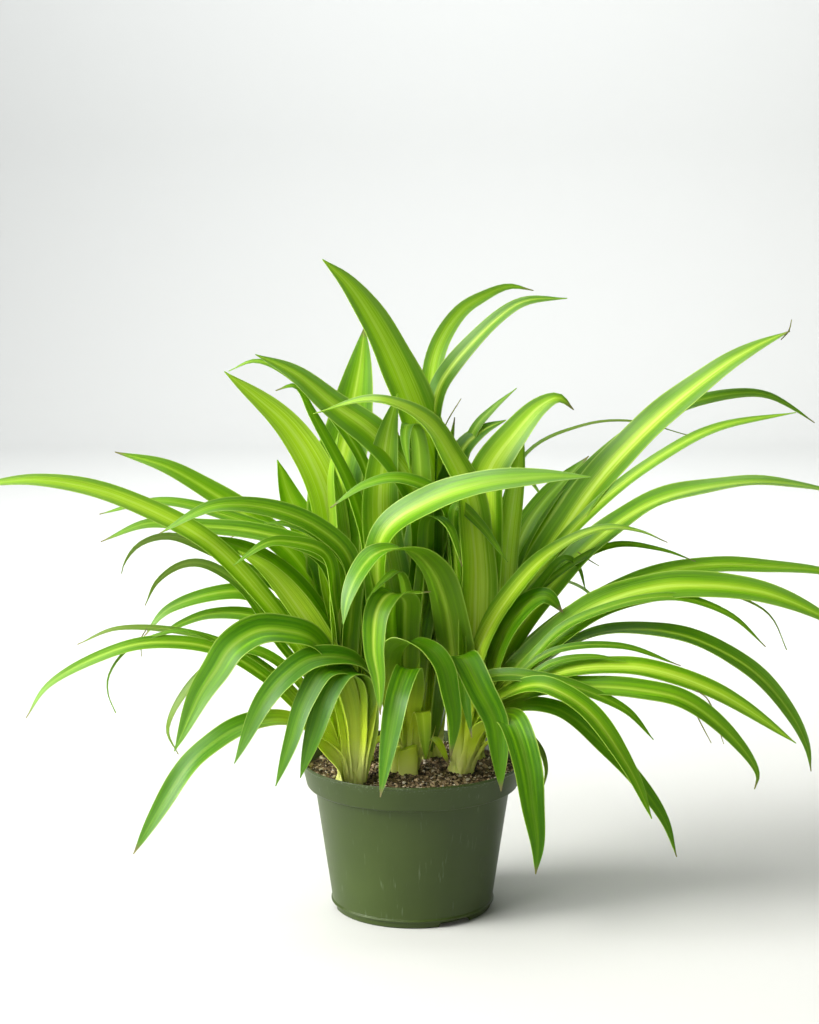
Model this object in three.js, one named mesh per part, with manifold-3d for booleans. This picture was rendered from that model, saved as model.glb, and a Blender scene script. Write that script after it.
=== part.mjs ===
// Potted spider plant: a green plastic nursery pot filled with dark potting soil, and six
// leafy crowns of long arching strap leaves. Millimetres, +Z up, the pot stands on Z = 0 with its
// axis on the Z axis, and the front of the plant faces -Y.
import * as THREE from 'three';
import { mergeVertices } from 'three/addons/utils/BufferGeometryUtils.js';
import Module from 'manifold-3d';

// Pot sizes
const POT_HEIGHT = 105;
const RIM_RADIUS = 77;
const BAND_RADIUS = 73;
const BAND_BOTTOM = 87;
const WALL_TOP_RADIUS = 67.3;
const WALL_FOOT_RADIUS = 55.6;
const RIDGE_RADIUS = 56.6;
const RIDGE_HEIGHT = 5.5;
const FOOT_RADIUS = 54.5;
const WALL = 1.4;
const FLOOR = 2.5;
const POT_SIDES = 40;

// Drain notches cut through the foot, as seen from above, degrees from the front toward +X
const NOTCH_ANGLES = [33, 153, 273];
const NOTCH_WIDTH = 25;
const NOTCH_HEIGHT = 3.4;
const NOTCH_DEPTH = 7;

// Soil
const GAP = 0.3;
const SOIL_EDGE = 96.5;
const SOIL_MIDDLE = 98.5;
const SOIL_SIDES = 24;
const CROWN_SINK = 78;

// Leaf blade
const EDGE_THICKNESS = 0.65;
const MIDDLE_THICKNESS = 0.95;
const BASE_THICKNESS = 2.6;
const BASE_WIDTH_SHARE = 0.55;
const TIP_HALF_WIDTH = 0.45;
const FOLD_AT_BASE = 30;
const FOLD_AT_TIP = 8;
const TAPER_POWER = 6;
const STRAIGHT_LENGTH = 102;
const BEND_ANGLE = 40;
const NARROW = 23.5;
const ROOT_HEIGHT = 100;

// Crowns: middle on the soil and radius of the fleshy base, mm
const CROWNS = {
  left: { x: -42, y: -32, radius: 12 },
  right: { x: 33, y: -10, radius: 11 },
  middle: { x: -3, y: -6, radius: 9 },
  back: { x: 8, y: 32, radius: 11 },
  back_left: { x: -36, y: 20, radius: 11 },
  back_right: { x: 42, y: 30, radius: 11 },
};

// Each leaf: width, turn of its face toward the front at the base and at the tip in degrees,
// then the places that its middle line goes through after leaving the crown.
const LEAVES = {
  left: [
    [16, 50, 50, [-50, -31, 130], [-77, -33, 190], [-101, -36, 225], [-137, -40, 264],
      [-202, -44, 297], [-247, -48, 306], [-292, -50, 302]],
    [16, 55, 55, [-44, -28, 180], [-42, -28, 248], [-62, -34, 271], [-95, -42, 286],
      [-131, -52, 289], [-166, -58, 272]],
    [11, 50, 50, [-46, -20, 180], [-58, -8, 240], [-76, -6, 255], [-117, -5, 272], [-170, -5, 285],
      [-212, -5, 276]],
    [14, 50, 50, [-44, -20, 190], [-48, -14, 236], [-64, -12, 252], [-106, -12, 265],
      [-142, -13, 269], [-179, -14, 271], [-210, -16, 259]],
    [8, 5, 100, [-52, -22, 160], [-70, -18, 204], [-96, -17, 231], [-140, -18, 255],
      [-161, -18, 263], [-174, -18, 262], [-186, -19, 256], [-194, -20, 245], [-196, -20, 238]],
    [8, 5, 100, [-52, -26, 140], [-90, -22, 190], [-112, -22, 226], [-127, -22, 239],
      [-143, -23, 246], [-157, -23, 244], [-172, -24, 233], [-180, -25, 217]],
    [14, 50, 50, [-54, -26, 150], [-80, -18, 199], [-107, -14, 222], [-126, -14, 224],
      [-166, -16, 212], [-182, -18, 194]],
    [12, 50, 50, [-52, -24, 140], [-76, -14, 184], [-104, -10, 205], [-136, -10, 208],
      [-158, -11, 201], [-176, -12, 190]],
    [6, 50, 50, [-52, -30, 125], [-69, -29, 146], [-96, -29, 173], [-134, -30, 195],
      [-197, -32, 203], [-225, -33, 192]],
    [10, 50, 50, [-52, -34, 124], [-77, -38, 149], [-99, -42, 172], [-132, -46, 192],
      [-175, -50, 197], [-208, -52, 188], [-243, -54, 168], [-257, -56, 147]],
    [3, 50, 50, [-54, -36, 128], [-99, -38, 170], [-150, -46, 204], [-188, -49, 193],
      [-202, -49, 175], [-203, -49, 162], [-198, -50, 149]],
    [8, 50, 50, [-54, -34, 130], [-90, -34, 180], [-116, -35, 189], [-148, -35, 166],
      [-165, -36, 134], [-158, -37, 117]],
    [25, 40, 40, [-46, -38, 140], [-54, -48, 176], [-66, -58, 201], [-83, -64, 208],
      [-101, -70, 209], [-118, -77, 200], [-128, -82, 186], [-138, -86, 171], [-155, -92, 134]],
    [21, 60, 60, [-44, -40, 146], [-58, -40, 188], [-80, -38, 224], [-98, -38, 245],
      [-116, -38, 257]],
    [12, 50, 50, [-48, -30, 180], [-52, -32, 222], [-58, -38, 255], [-82, -44, 264],
      [-96, -48, 264], [-118, -54, 250]],
    [15, 50, 50, [-44, -28, 190], [-42, -26, 245], [-63, -27, 266], [-82, -28, 273],
      [-99, -29, 274]],
    [18, 5, 60, [-49, -40, 118], [-64, -44, 133], [-84, -51, 144], [-100, -57, 145],
      [-115, -63, 142], [-130, -68, 134], [-147, -73, 120], [-168, -80, 89], [-184, -84, 62]],
    [19, 30, 30, [-30, -43, 140], [-28, -50, 170], [-38, -58, 186], [-66, -72, 191],
      [-82, -80, 182], [-97, -86, 165], [-116, -93, 126]],
    [16, 30, 30, [-34, -44, 140], [-38, -58, 176], [-57, -74, 184], [-70, -84, 166],
      [-79, -92, 140], [-89, -97, 112]],
    [19, 20, 20, [-30, -44, 140], [-36, -58, 178], [-47, -70, 182], [-56, -80, 170],
      [-63, -88, 149], [-73, -95, 117]],
    [20, 30, 30, [-46, -28, 160], [-50, -30, 215], [-53, -26, 262]],
    [18, 50, 50, [-49, -42, 110], [-58, -47, 123], [-68, -49, 136]],
  ],
  right: [
    [33, 100, -5, [40, -10, 160], [42, -14, 215], [42, -15, 246], [36, -16, 291], [25, -17, 316],
      [8, -20, 341], [-24, -23, 356], [-66, -25, 347]],
    [30, 55, 55, [46, -4, 150], [48, 0, 230], [49, 0, 271], [51, 1, 302], [71, 3, 332],
      [87, 4, 349], [99, 4, 354], [109, 4, 346]],
    [14, 50, 50, [34, -8, 170], [30, -10, 240], [20, -12, 287], [-8, -15, 302], [-32, -18, 298],
      [-55, -21, 283]],
    [25, 60, 8, [50, -4, 150], [70, 0, 190], [101, 0, 232], [142, 0, 270], [170, -1, 286],
      [226, -2, 297], [264, -3, 295], [303, -4, 286]],
    [20, 65, 0, [40, -13, 140], [42, -15, 174], [55, -16, 205], [88, -18, 247], [125, -20, 268],
      [153, -22, 267], [171, -24, 260]],
    [6, 50, 50, [54, -8, 160], [75, -7, 210], [100, -6, 236], [136, -6, 255], [169, -7, 252],
      [192, -8, 244]],
    [21, 55, 55, [46, -16, 140], [67, -24, 168], [81, -25, 182], [121, -29, 216], [165, -32, 231],
      [192, -34, 233], [232, -37, 229], [271, -40, 214], [292, -42, 200]],
    [14, 50, 50, [54, -10, 150], [80, -8, 184], [128, -6, 218], [168, -5, 235], [207, -5, 241],
      [241, -5, 240], [276, -5, 237], [308, -5, 230]],
    [8, 50, 50, [52, -18, 140], [83, -34, 186], [101, -35, 204], [129, -36, 217], [155, -37, 224],
      [180, -38, 225], [213, -39, 213], [236, -40, 192]],
    [3, 50, 50, [60, -12, 150], [120, -14, 208], [175, -12, 230], [228, -10, 217], [244, -10, 206],
      [255, -10, 183]],
    [17, -35, 80, [56, -14, 140], [88, -20, 175], [117, -22, 194], [149, -24, 200],
      [187, -26, 195], [228, -28, 174], [256, -30, 143], [267, -32, 121], [270, -33, 104]],
    [6, 50, 50, [54, -22, 140], [90, -40, 187], [139, -42, 193], [179, -44, 180]],
    [6, 50, 50, [54, -26, 135], [89, -45, 180], [118, -47, 187], [142, -48, 184]],
    [16, 20, 60, [54, -26, 138], [95, -45, 174], [141, -48, 180], [165, -49, 177], [197, -50, 166],
      [220, -51, 154], [256, -53, 129]],
    [16, 15, 60, [52, -30, 138], [84, -50, 165], [118, -55, 168], [151, -59, 167], [179, -61, 161],
      [211, -63, 137], [229, -65, 111], [227, -66, 101]],
    [11, 40, 40, [40, -28, 140], [48, -44, 170], [64, -50, 175], [82, -55, 174], [108, -60, 169],
      [141, -66, 155], [159, -70, 136]],
    [17, 30, 30, [44, -34, 140], [69, -60, 167], [84, -68, 172], [99, -74, 168], [112, -78, 160],
      [124, -83, 148], [144, -91, 117], [156, -97, 90]],
    [14, 30, 30, [50, -38, 136], [72, -56, 155], [98, -60, 153], [129, -63, 128], [152, -66, 103],
      [168, -67, 79], [176, -68, 55]],
    [30, 40, 40, [50, -12, 160], [69, -20, 208], [89, -24, 223], [101, -28, 213]],
    [30, -50, 20, [32, -10, 140], [29, -12, 170], [22, -26, 218], [12, -40, 246], [-2, -52, 260],
      [-23, -65, 260], [-35, -72, 248], [-42, -77, 233], [-45, -81, 216]],
    [22, 10, 10, [33, -24, 150], [28, -42, 183], [33, -56, 188], [45, -74, 169], [54, -80, 152],
      [56, -84, 139], [58, -88, 106]],
    [10, 10, 10, [33, -22, 140], [29, -54, 180], [33, -70, 173], [39, -76, 139]],
    [21, 10, 10, [44, -32, 126], [54, -56, 146], [64, -75, 151], [69, -86, 144], [75, -96, 123],
      [78, -102, 99], [81, -106, 74], [80, -108, 56]],
    [6, 10, 10, [50, -30, 122], [70, -56, 140], [84, -70, 130], [88, -75, 117], [86, -76, 104]],
    [12, 60, 60, [34, -16, 180], [30, -16, 240], [30, -20, 284], [45, -21, 272], [64, -21, 246]],
    [18, 60, 60, [52, 2, 150], [60, 8, 186], [65, 10, 251], [72, 11, 305], [75, 12, 336]],
    [8, 50, 50, [60, -8, 180], [90, -6, 233], [104, -5, 246], [112, -5, 241], [118, -5, 223]],
    [22, 0, 0, [36, -3, 180], [30, 2, 250], [27, 4, 305]],
  ],
  middle: [
    [28, 65, 65, [-1, -14, 180], [8, -1, 250], [5, -1, 285], [-11, -3, 313], [-29, -4, 332],
      [-54, -6, 351], [-80, -8, 373], [-105, -10, 385]],
    [30, 70, 70, [-6, -8, 180], [-22, -5, 275], [-18, -5, 325], [-10, -5, 358]],
    [24, 60, 60, [-12, -14, 150], [-22, -15, 215], [-19, -22, 265], [12, -34, 290], [44, -46, 303],
      [83, -54, 309], [116, -60, 310]],
    [16, 0, 0, [4, -12, 180], [9, -12, 245], [12, -25, 277], [24, -37, 273], [33, -42, 247]],
    [10, 0, 0, [-6, -12, 150], [-4, -34, 226], [-10, -54, 246], [-20, -60, 240], [-30, -66, 229]],
    [20, 0, 0, [-7, -11, 140], [-5, -30, 205], [-6, -52, 228], [-15, -62, 232], [-23, -72, 223],
      [-25, -80, 200], [-22, -84, 180], [-21, -86, 157]],
    [12, 20, 20, [-8, -12, 140], [-14, -34, 208], [-10, -50, 228], [12, -62, 234]],
    [19, 0, 0, [-9, -12, 130], [-16, -34, 176], [-13, -48, 191], [-4, -56, 199], [11, -68, 197],
      [20, -76, 187], [24, -82, 171], [27, -86, 154], [25, -90, 130]],
    [18, 15, 0, [-3, -12, 128], [-1, -38, 168], [-3, -60, 181], [-9, -78, 169], [-15, -88, 140],
      [-21, -95, 104]],
    [12, 0, 0, [3, -14, 126], [6, -22, 142], [7, -28, 141], [9, -31, 112]],
    [8, 0, 0, [7, -10, 112], [13, -16, 122], [17, -20, 121], [25, -25, 106]],
    [9, 0, 0, [-8, -12, 112], [-14, -16, 122], [-22, -19, 123], [-32, -22, 113]],
    [17, 0, 0, [6, -4, 230], [6, -3, 300], [2, -6, 334], [-3, -10, 338], [-5, -14, 330],
      [-2, -18, 308]],
    [24, 0, 0, [-2, -10, 180], [2, -4, 250], [6, 1, 310]],
    [24, 0, 0, [-12, -6, 170], [-14, 4, 250], [-10, 10, 330]],
  ],
  back: [
    [44, 75, 75, [12, 30, 170], [17, 25, 281], [-6, 15, 361], [-25, 6, 402], [-43, -1, 431],
      [-60, -6, 448]],
    [17, -20, 95, [10, 34, 250], [12, 36, 352], [18, 36, 386], [33, 37, 410], [48, 38, 420],
      [66, 39, 427], [83, 40, 424]],
    [19, 60, 60, [10, 32, 250], [17, 28, 353], [28, 26, 374], [60, 24, 408], [77, 23, 418],
      [105, 22, 420]],
    [13, 60, 60, [16, 28, 200], [30, 22, 290], [43, 20, 331], [55, 20, 345], [71, 20, 359]],
    [29, 60, 60, [18, 26, 200], [26, 18, 290], [35, 18, 318], [48, 19, 330], [64, 20, 337]],
    [16, 0, 0, [8, 50, 150], [4, 80, 220], [0, 115, 250], [-4, 150, 235], [-8, 175, 190]],
    [12, 0, 0, [12, 48, 130], [20, 80, 170], [26, 110, 170], [30, 130, 130], [32, 138, 90]],
    [14, 0, 0, [0, 46, 160], [-16, 70, 230], [-34, 95, 265], [-60, 120, 260], [-80, 138, 230]],
    [14, 0, 0, [14, 46, 170], [30, 70, 250], [50, 95, 290], [75, 118, 290], [98, 136, 262]],
    [11, 0, 0, [4, 46, 120], [-6, 72, 146], [-14, 98, 140], [-18, 112, 108]],
    [22, 0, 0, [16, 40, 200], [23, 34, 280], [29, 28, 338]],
    [22, 0, 0, [19, 24, 122], [24, 18, 160], [26, 15, 215], [28, 15, 270]],
  ],
  back_left: [
    [41, 0, 0, [-46, 18, 170], [-53, 18, 240], [-52, 24, 295], [-44, 32, 329], [-36, 40, 374],
      [-33, 42, 399]],
    [28, 65, 65, [-44, 14, 180], [-54, 10, 232], [-60, 10, 287], [-83, 10, 332], [-127, 5, 372]],
    [15, 60, 60, [-32, 14, 180], [-32, 5, 254], [-38, 4, 280], [-48, 3, 305], [-68, 0, 344],
      [-79, -2, 363], [-92, -4, 360]],
    [10, 60, 60, [-30, 18, 200], [-28, 14, 290], [-49, 15, 334], [-86, 16, 370], [-107, 16, 378],
      [-125, 16, 371]],
    [22, 50, 50, [-44, 20, 160], [-77, 16, 237], [-103, 15, 263], [-141, 15, 290], [-167, 14, 305],
      [-203, 13, 316]],
    [23, 50, 50, [-42, 12, 150], [-62, 0, 198], [-86, -4, 231], [-108, -6, 249], [-139, -8, 262]],
    [29, 60, 60, [-44, 22, 160], [-60, 24, 238], [-82, 25, 277], [-93, 25, 309]],
    [14, 0, 0, [-44, 42, 150], [-56, 72, 215], [-68, 104, 238], [-78, 134, 215], [-84, 150, 170]],
    [12, 0, 0, [-38, 44, 140], [-44, 80, 190], [-50, 112, 196], [-54, 134, 160], [-56, 142, 118]],
    [12, 0, 0, [-48, 34, 150], [-70, 52, 210], [-94, 66, 240], [-114, 78, 250], [-130, 86, 244]],
    [22, 0, 0, [-34, 22, 180], [-36, 26, 250], [-36, 30, 322]],
    [24, 0, 0, [-50, 14, 180], [-56, 10, 245], [-57, 10, 300], [-50, 12, 330]],
    [22, 0, 0, [-27, 12, 125], [-23, 10, 165], [-22, 11, 220], [-24, 14, 280]],
  ],
  back_right: [
    [27, 58, 42, [50, 28, 150], [61, 25, 182], [95, 25, 244], [128, 26, 294], [166, 27, 335],
      [210, 28, 371], [234, 29, 386], [258, 30, 397]],
    [11, 50, 50, [60, 22, 180], [94, 20, 240], [128, 14, 280], [171, 12, 314], [208, 13, 333],
      [261, 14, 343]],
    [12, 50, 50, [56, 36, 170], [76, 40, 230], [114, 42, 290], [152, 42, 325], [192, 42, 346],
      [231, 43, 353], [247, 43, 351], [261, 44, 344], [279, 45, 332]],
    [24, 40, 40, [56, 42, 180], [76, 48, 249], [93, 48, 277], [123, 50, 308]],
    [3, 50, 50, [50, 38, 200], [77, 45, 308], [118, 46, 330], [152, 47, 333], [191, 48, 323]],
    [15, 0, 0, [50, 46, 150], [66, 76, 215], [80, 108, 236], [90, 136, 215], [96, 150, 172]],
    [12, 0, 0, [46, 46, 140], [52, 80, 186], [58, 112, 190], [62, 132, 158], [64, 140, 118]],
    [13, 0, 0, [54, 40, 140], [78, 58, 196], [100, 76, 214], [122, 90, 206], [140, 102, 186]],
  ],
};

// Cut leaf stubs beside the middle crown: x, y, radius, height of the flat cut top
const STUBS = [
  [-3, -19, 6.5, 117],
  [-11.5, -16, 3.4, 116],
];

const wasm = await Module();
wasm.setup();

// Colours

const potGreen = new THREE.MeshStandardMaterial({ color: 0x435735, roughness: 0.45, metalness: 0 });
const soilBrown = new THREE.MeshStandardMaterial({ color: 0x453524, roughness: 0.95, metalness: 0 });
const leafGreen = new THREE.MeshStandardMaterial({ color: 0x769e30, roughness: 0.45, metalness: 0 });

// Turning surfaces into solids and back

function solidFrom(positions, indices) {
  return new wasm.Manifold(new wasm.Mesh({
    numProp: 3,
    vertProperties: new Float32Array(positions),
    triVerts: new Uint32Array(indices),
  }));
}

function solidOf(geometry) {
  const bare = geometry.clone();
  bare.deleteAttribute('normal');
  bare.deleteAttribute('uv');
  const merged = mergeVertices(bare, 1e-4);
  const index = Array.from(merged.index.array);
  const kept = [];
  for (let i = 0; i < index.length; i += 3) {
    const [a, b, c] = [index[i], index[i + 1], index[i + 2]];
    if (a !== b && b !== c && a !== c) kept.push(a, b, c);
  }
  return solidFrom(merged.attributes.position.array, kept);
}

function lathed(profile, sides) {
  const points = profile.map(([r, z]) => new THREE.Vector2(r, z));
  const geometry = new THREE.LatheGeometry(points, sides);
  geometry.rotateX(Math.PI / 2);
  return solidOf(geometry);
}

function meshFrom(solid, name, material) {
  const { vertProperties, triVerts, numProp } = solid.getMesh();
  const geometry = new THREE.BufferGeometry();
  const positions = new Float32Array((vertProperties.length / numProp) * 3);
  for (let i = 0; i < positions.length / 3; i += 1) {
    for (let k = 0; k < 3; k += 1) positions[i * 3 + k] = vertProperties[i * numProp + k];
  }
  geometry.setAttribute('position', new THREE.BufferAttribute(positions, 3));
  geometry.setIndex(Array.from(triVerts));
  geometry.computeVertexNormals();
  const mesh = new THREE.Mesh(geometry, material);
  mesh.name = name;
  return mesh;
}

// Pot

function potSolid() {
  const profile = [
    [0, 0],
    [FOOT_RADIUS - 1, 0],
    [FOOT_RADIUS, 1],
    [FOOT_RADIUS + 0.5, RIDGE_HEIGHT - 0.8],
    [RIDGE_RADIUS, RIDGE_HEIGHT - 0.3],
    [RIDGE_RADIUS, RIDGE_HEIGHT + 0.3],
    [WALL_FOOT_RADIUS, RIDGE_HEIGHT + 1],
    [WALL_TOP_RADIUS, BAND_BOTTOM - 1],
    [BAND_RADIUS - 1, BAND_BOTTOM],
    [BAND_RADIUS, BAND_BOTTOM + 1],
    [RIM_RADIUS - 0.4, POT_HEIGHT - 2],
    [RIM_RADIUS, POT_HEIGHT - 0.8],
    [RIM_RADIUS - 0.6, POT_HEIGHT],
    [RIM_RADIUS - WALL, POT_HEIGHT - 0.4],
    [BAND_RADIUS - WALL, BAND_BOTTOM + 2.6],
    [WALL_TOP_RADIUS - WALL, BAND_BOTTOM],
    [WALL_FOOT_RADIUS - WALL, RIDGE_HEIGHT + 1],
    [FOOT_RADIUS - 2.5, FLOOR],
    [0, FLOOR],
  ];
  let pot = lathed(profile, POT_SIDES);
  for (const angle of NOTCH_ANGLES) {
    const box = new THREE.BoxGeometry(NOTCH_WIDTH, NOTCH_DEPTH + 10, NOTCH_HEIGHT + 1);
    box.translate(0, -(FOOT_RADIUS - NOTCH_DEPTH + (NOTCH_DEPTH + 10) / 2), (NOTCH_HEIGHT - 1) / 2);
    box.rotateZ(THREE.MathUtils.degToRad(angle));
    pot = pot.subtract(solidOf(box));
  }
  return pot;
}

// Soil

function soilSolid() {
  const top = SOIL_EDGE;
  const inBand = BAND_RADIUS - WALL + ((top - BAND_BOTTOM - 2.6) / (POT_HEIGHT - BAND_BOTTOM - 3))
    * (RIM_RADIUS - BAND_RADIUS);
  const profile = [
    [0, FLOOR + GAP],
    [FOOT_RADIUS - 3, FLOOR + GAP],
    [WALL_FOOT_RADIUS - WALL - GAP - 0.1, RIDGE_HEIGHT + 1.2],
    [WALL_TOP_RADIUS - WALL - GAP - 0.1, BAND_BOTTOM + 0.4],
    [BAND_RADIUS - WALL - GAP - 0.4, BAND_BOTTOM + 3],
    [inBand - GAP - 0.2, top],
    [RIM_RADIUS * 0.5, (top + SOIL_MIDDLE) / 2 + 0.4],
    [0, SOIL_MIDDLE],
  ];
  let soil = lathed(profile, SOIL_SIDES);
  for (const crown of Object.values(CROWNS)) {
    const hole = new THREE.CylinderGeometry(crown.radius + GAP, crown.radius + GAP, 40, 12);
    hole.rotateX(Math.PI / 2);
    hole.translate(crown.x, crown.y, CROWN_SINK - GAP + 20);
    soil = soil.subtract(solidOf(hole));
  }
  return soil;
}

// Leaves

// Half width along a leaf: narrow at the clasping base, full from two fifths of the way on, then
// drawn in fast to the point.
function halfWidth(width, u) {
  const swell = THREE.MathUtils.smoothstep(u, 0, 0.38);
  const share = BASE_WIDTH_SHARE + (1 - BASE_WIDTH_SHARE) * swell;
  const taper = 1 - Math.pow(u, TAPER_POWER);
  return Math.max(TIP_HALF_WIDTH, (width / 2) * share * taper);
}

function middleLine(crown, width, places) {
  const first = places[0];
  const reach = Math.hypot(first[0] - crown.x, first[1] - crown.y) || 1;
  const room = crown.radius - 1 - (width / 2) * BASE_WIDTH_SHARE;
  const step = Math.min(1, Math.max(0, Math.min(7, room)) / reach);
  const root = new THREE.Vector3(
    crown.x + (first[0] - crown.x) * step,
    crown.y + (first[1] - crown.y) * step,
    ROOT_HEIGHT,
  );
  const points = [root, ...places.map((p) => new THREE.Vector3(...p))];
  const line = new THREE.CatmullRomCurve3(points, false, 'centripetal');
  line.arcLengthDivisions = 400;
  return line;
}

// The corners of a blade cut across, going round from the left edge of the upper face: six for
// a channelled blade, four for a narrow one that is drawn flat. Each is across, along the face.
function section(half, fold, edge, middle, narrow) {
  const spread = half * Math.cos(fold);
  const rise = half * Math.sin(fold);
  if (narrow) {
    return [[-spread, edge / 2], [spread, edge / 2], [spread, -edge / 2], [-spread, -edge / 2]];
  }
  return [
    [-spread, rise + edge / 2], [0, middle / 2], [spread, rise + edge / 2],
    [spread, rise - edge / 2], [0, -middle / 2], [-spread, rise - edge / 2],
  ];
}

// Triangles between the rings of a swept blade and over its two ends. Both faces are split along
// the same lines, so that the blade keeps its thickness.
function bladeTriangles(rings, corners) {
  const indices = [];
  const forward = corners === 6 ? [0, 3] : [0];
  for (let i = 0; i < rings - 1; i += 1) {
    for (let k = 0; k < corners; k += 1) {
      const a = i * corners + k;
      const b = i * corners + ((k + 1) % corners);
      const [c, d] = [b + corners, a + corners];
      if (forward.includes(k)) indices.push(a, b, c, a, c, d);
      else indices.push(a, b, d, b, c, d);
    }
  }
  const last = (rings - 1) * corners;
  const wide = [[0, 5, 4], [0, 4, 1], [1, 4, 3], [1, 3, 2]];
  const flat = [[0, 3, 2], [0, 2, 1]];
  for (const [a, b, c] of corners === 6 ? wide : flat) {
    indices.push(a, b, c);
    indices.push(last + a, last + c, last + b);
  }
  return indices;
}

// Places of the rings along a leaf, as shares of its length: about one for each BEND_ANGLE that
// the leaf turns and one for each STRAIGHT_LENGTH that it runs.
function ringPlaces(line) {
  const steps = 120;
  const length = line.getLength();
  const costs = [0];
  let before = line.getTangentAt(0);
  for (let i = 1; i <= steps; i += 1) {
    const tangent = line.getTangentAt(i / steps);
    const bend = THREE.MathUtils.radToDeg(before.angleTo(tangent));
    costs.push(costs[i - 1] + length / steps / STRAIGHT_LENGTH + bend / BEND_ANGLE);
    before = tangent;
  }
  const parts = Math.max(4, Math.min(13, Math.round(costs[steps])));
  const places = [0];
  for (let i = 1; i < parts; i += 1) {
    const wanted = (costs[steps] * i) / parts;
    const k = costs.findIndex((cost) => cost >= wanted);
    places.push((k - (costs[k] - wanted) / (costs[k] - costs[k - 1])) / steps);
  }
  return [...places, 1];
}

// One strap leaf: a blade swept along its middle line. Its side stays level across the way that
// the leaf leans, then turns toward the front by the given angles.
function leafSolid(crown, [width, turnBase, turnTip, ...places]) {
  const line = middleLine(crown, width, places);
  const narrow = width < NARROW;
  const start = line.getPointAt(0);
  const end = line.getPointAt(1);
  const lean = new THREE.Vector3(end.x - start.x, end.y - start.y, 0).normalize();
  const level = new THREE.Vector3(0, 0, 1).cross(lean);
  const front = level.y > 0 ? -1 : 1;
  const positions = [];
  const rings = ringPlaces(line);
  for (const u of rings) {
    const at = line.getPointAt(u);
    const along = line.getTangentAt(u);
    const side = level.clone().addScaledVector(along, -level.dot(along)).normalize();
    const up = along.clone().cross(side);
    const turn = THREE.MathUtils.degToRad(turnBase + (turnTip - turnBase) * u);
    const face = up.clone().multiplyScalar(Math.cos(turn)).addScaledVector(side, Math.sin(turn) * front);
    const across = along.clone().cross(face).normalize();
    const fold = THREE.MathUtils.degToRad(FOLD_AT_BASE + (FOLD_AT_TIP - FOLD_AT_BASE) * Math.sqrt(u));
    const nearBase = Math.max(0, 1 - u / 0.12);
    const edge = EDGE_THICKNESS + nearBase * (BASE_THICKNESS - EDGE_THICKNESS) * 0.5;
    const middle = MIDDLE_THICKNESS + nearBase * (BASE_THICKNESS - MIDDLE_THICKNESS);
    for (const [s, h] of section(halfWidth(width, u), fold, edge, middle, narrow)) {
      const p = at.clone().addScaledVector(across, s).addScaledVector(face, h);
      positions.push(p.x, p.y, p.z);
    }
  }
  const indices = bladeTriangles(rings.length, narrow ? 4 : 6);
  const solid = solidFrom(positions, indices);
  return solid.volume() < 0 ? solidFrom(positions, flipped(indices)) : solid;
}

function flipped(indices) {
  const turned = [];
  for (let i = 0; i < indices.length; i += 3) turned.push(indices[i], indices[i + 2], indices[i + 1]);
  return turned;
}

function crownSolid(name) {
  const crown = CROWNS[name];
  const r = crown.radius;
  const profile = [[0, CROWN_SINK], [r * 0.8, CROWN_SINK], [r, CROWN_SINK + 8], [r, 98],
    [r * 0.86, 104], [r * 0.6, 110], [0, 114]];
  let solid = lathed(profile, 12).translate([crown.x, crown.y, 0]);
  for (const leaf of LEAVES[name]) solid = solid.add(leafSolid(crown, leaf));
  if (name === 'middle') {
    for (const [x, y, radius, top] of STUBS) {
      const stub = new THREE.CylinderGeometry(radius, radius * 1.1, top - ROOT_HEIGHT, 6);
      stub.rotateX(Math.PI / 2);
      stub.translate(x, y, (top + ROOT_HEIGHT) / 2);
      solid = solid.add(solidOf(stub));
    }
  }
  return filled(solid);
}

// The body without the sealed hollows that crossing blades shut in.
function filled(solid) {
  return solid.decompose().reduce((a, b) => (a.volume() > b.volume() ? a : b));
}

// The whole plant

const plant = new THREE.Group();
plant.name = 'potted_spider_plant';
plant.add(meshFrom(potSolid(), 'pot', potGreen));
plant.add(meshFrom(soilSolid(), 'soil', soilBrown));
for (const name of Object.keys(CROWNS)) {
  plant.add(meshFrom(crownSolid(name), `crown_${name}`, leafGreen));
}

export default plant;
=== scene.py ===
# Potted spider plant: a green plastic nursery pot, dark potting soil and six leafy crowns. Metres,
# +Z up, the pot's underside at the origin, the front of the plant toward -Y.
import math

import bpy
import numpy as np
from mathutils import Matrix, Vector


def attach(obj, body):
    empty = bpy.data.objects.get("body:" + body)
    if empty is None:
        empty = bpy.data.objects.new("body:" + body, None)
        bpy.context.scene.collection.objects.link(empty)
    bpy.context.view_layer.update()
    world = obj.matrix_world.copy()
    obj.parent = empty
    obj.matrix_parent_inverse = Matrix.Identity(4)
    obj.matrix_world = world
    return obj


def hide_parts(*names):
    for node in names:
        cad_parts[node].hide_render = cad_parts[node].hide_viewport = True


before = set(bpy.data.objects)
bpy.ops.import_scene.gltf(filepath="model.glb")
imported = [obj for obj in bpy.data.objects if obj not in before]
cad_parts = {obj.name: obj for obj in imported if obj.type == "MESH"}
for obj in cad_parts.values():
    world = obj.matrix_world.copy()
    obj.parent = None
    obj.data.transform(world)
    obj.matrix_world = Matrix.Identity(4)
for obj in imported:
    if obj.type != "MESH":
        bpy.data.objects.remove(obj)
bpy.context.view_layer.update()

MM = 0.001


# Pot
#
# One thin moulding of green polypropylene, with a tapered wall, a deep band under the rim, a
# hair-thin ridge above the foot and three notches under the foot that let water out.

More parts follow.
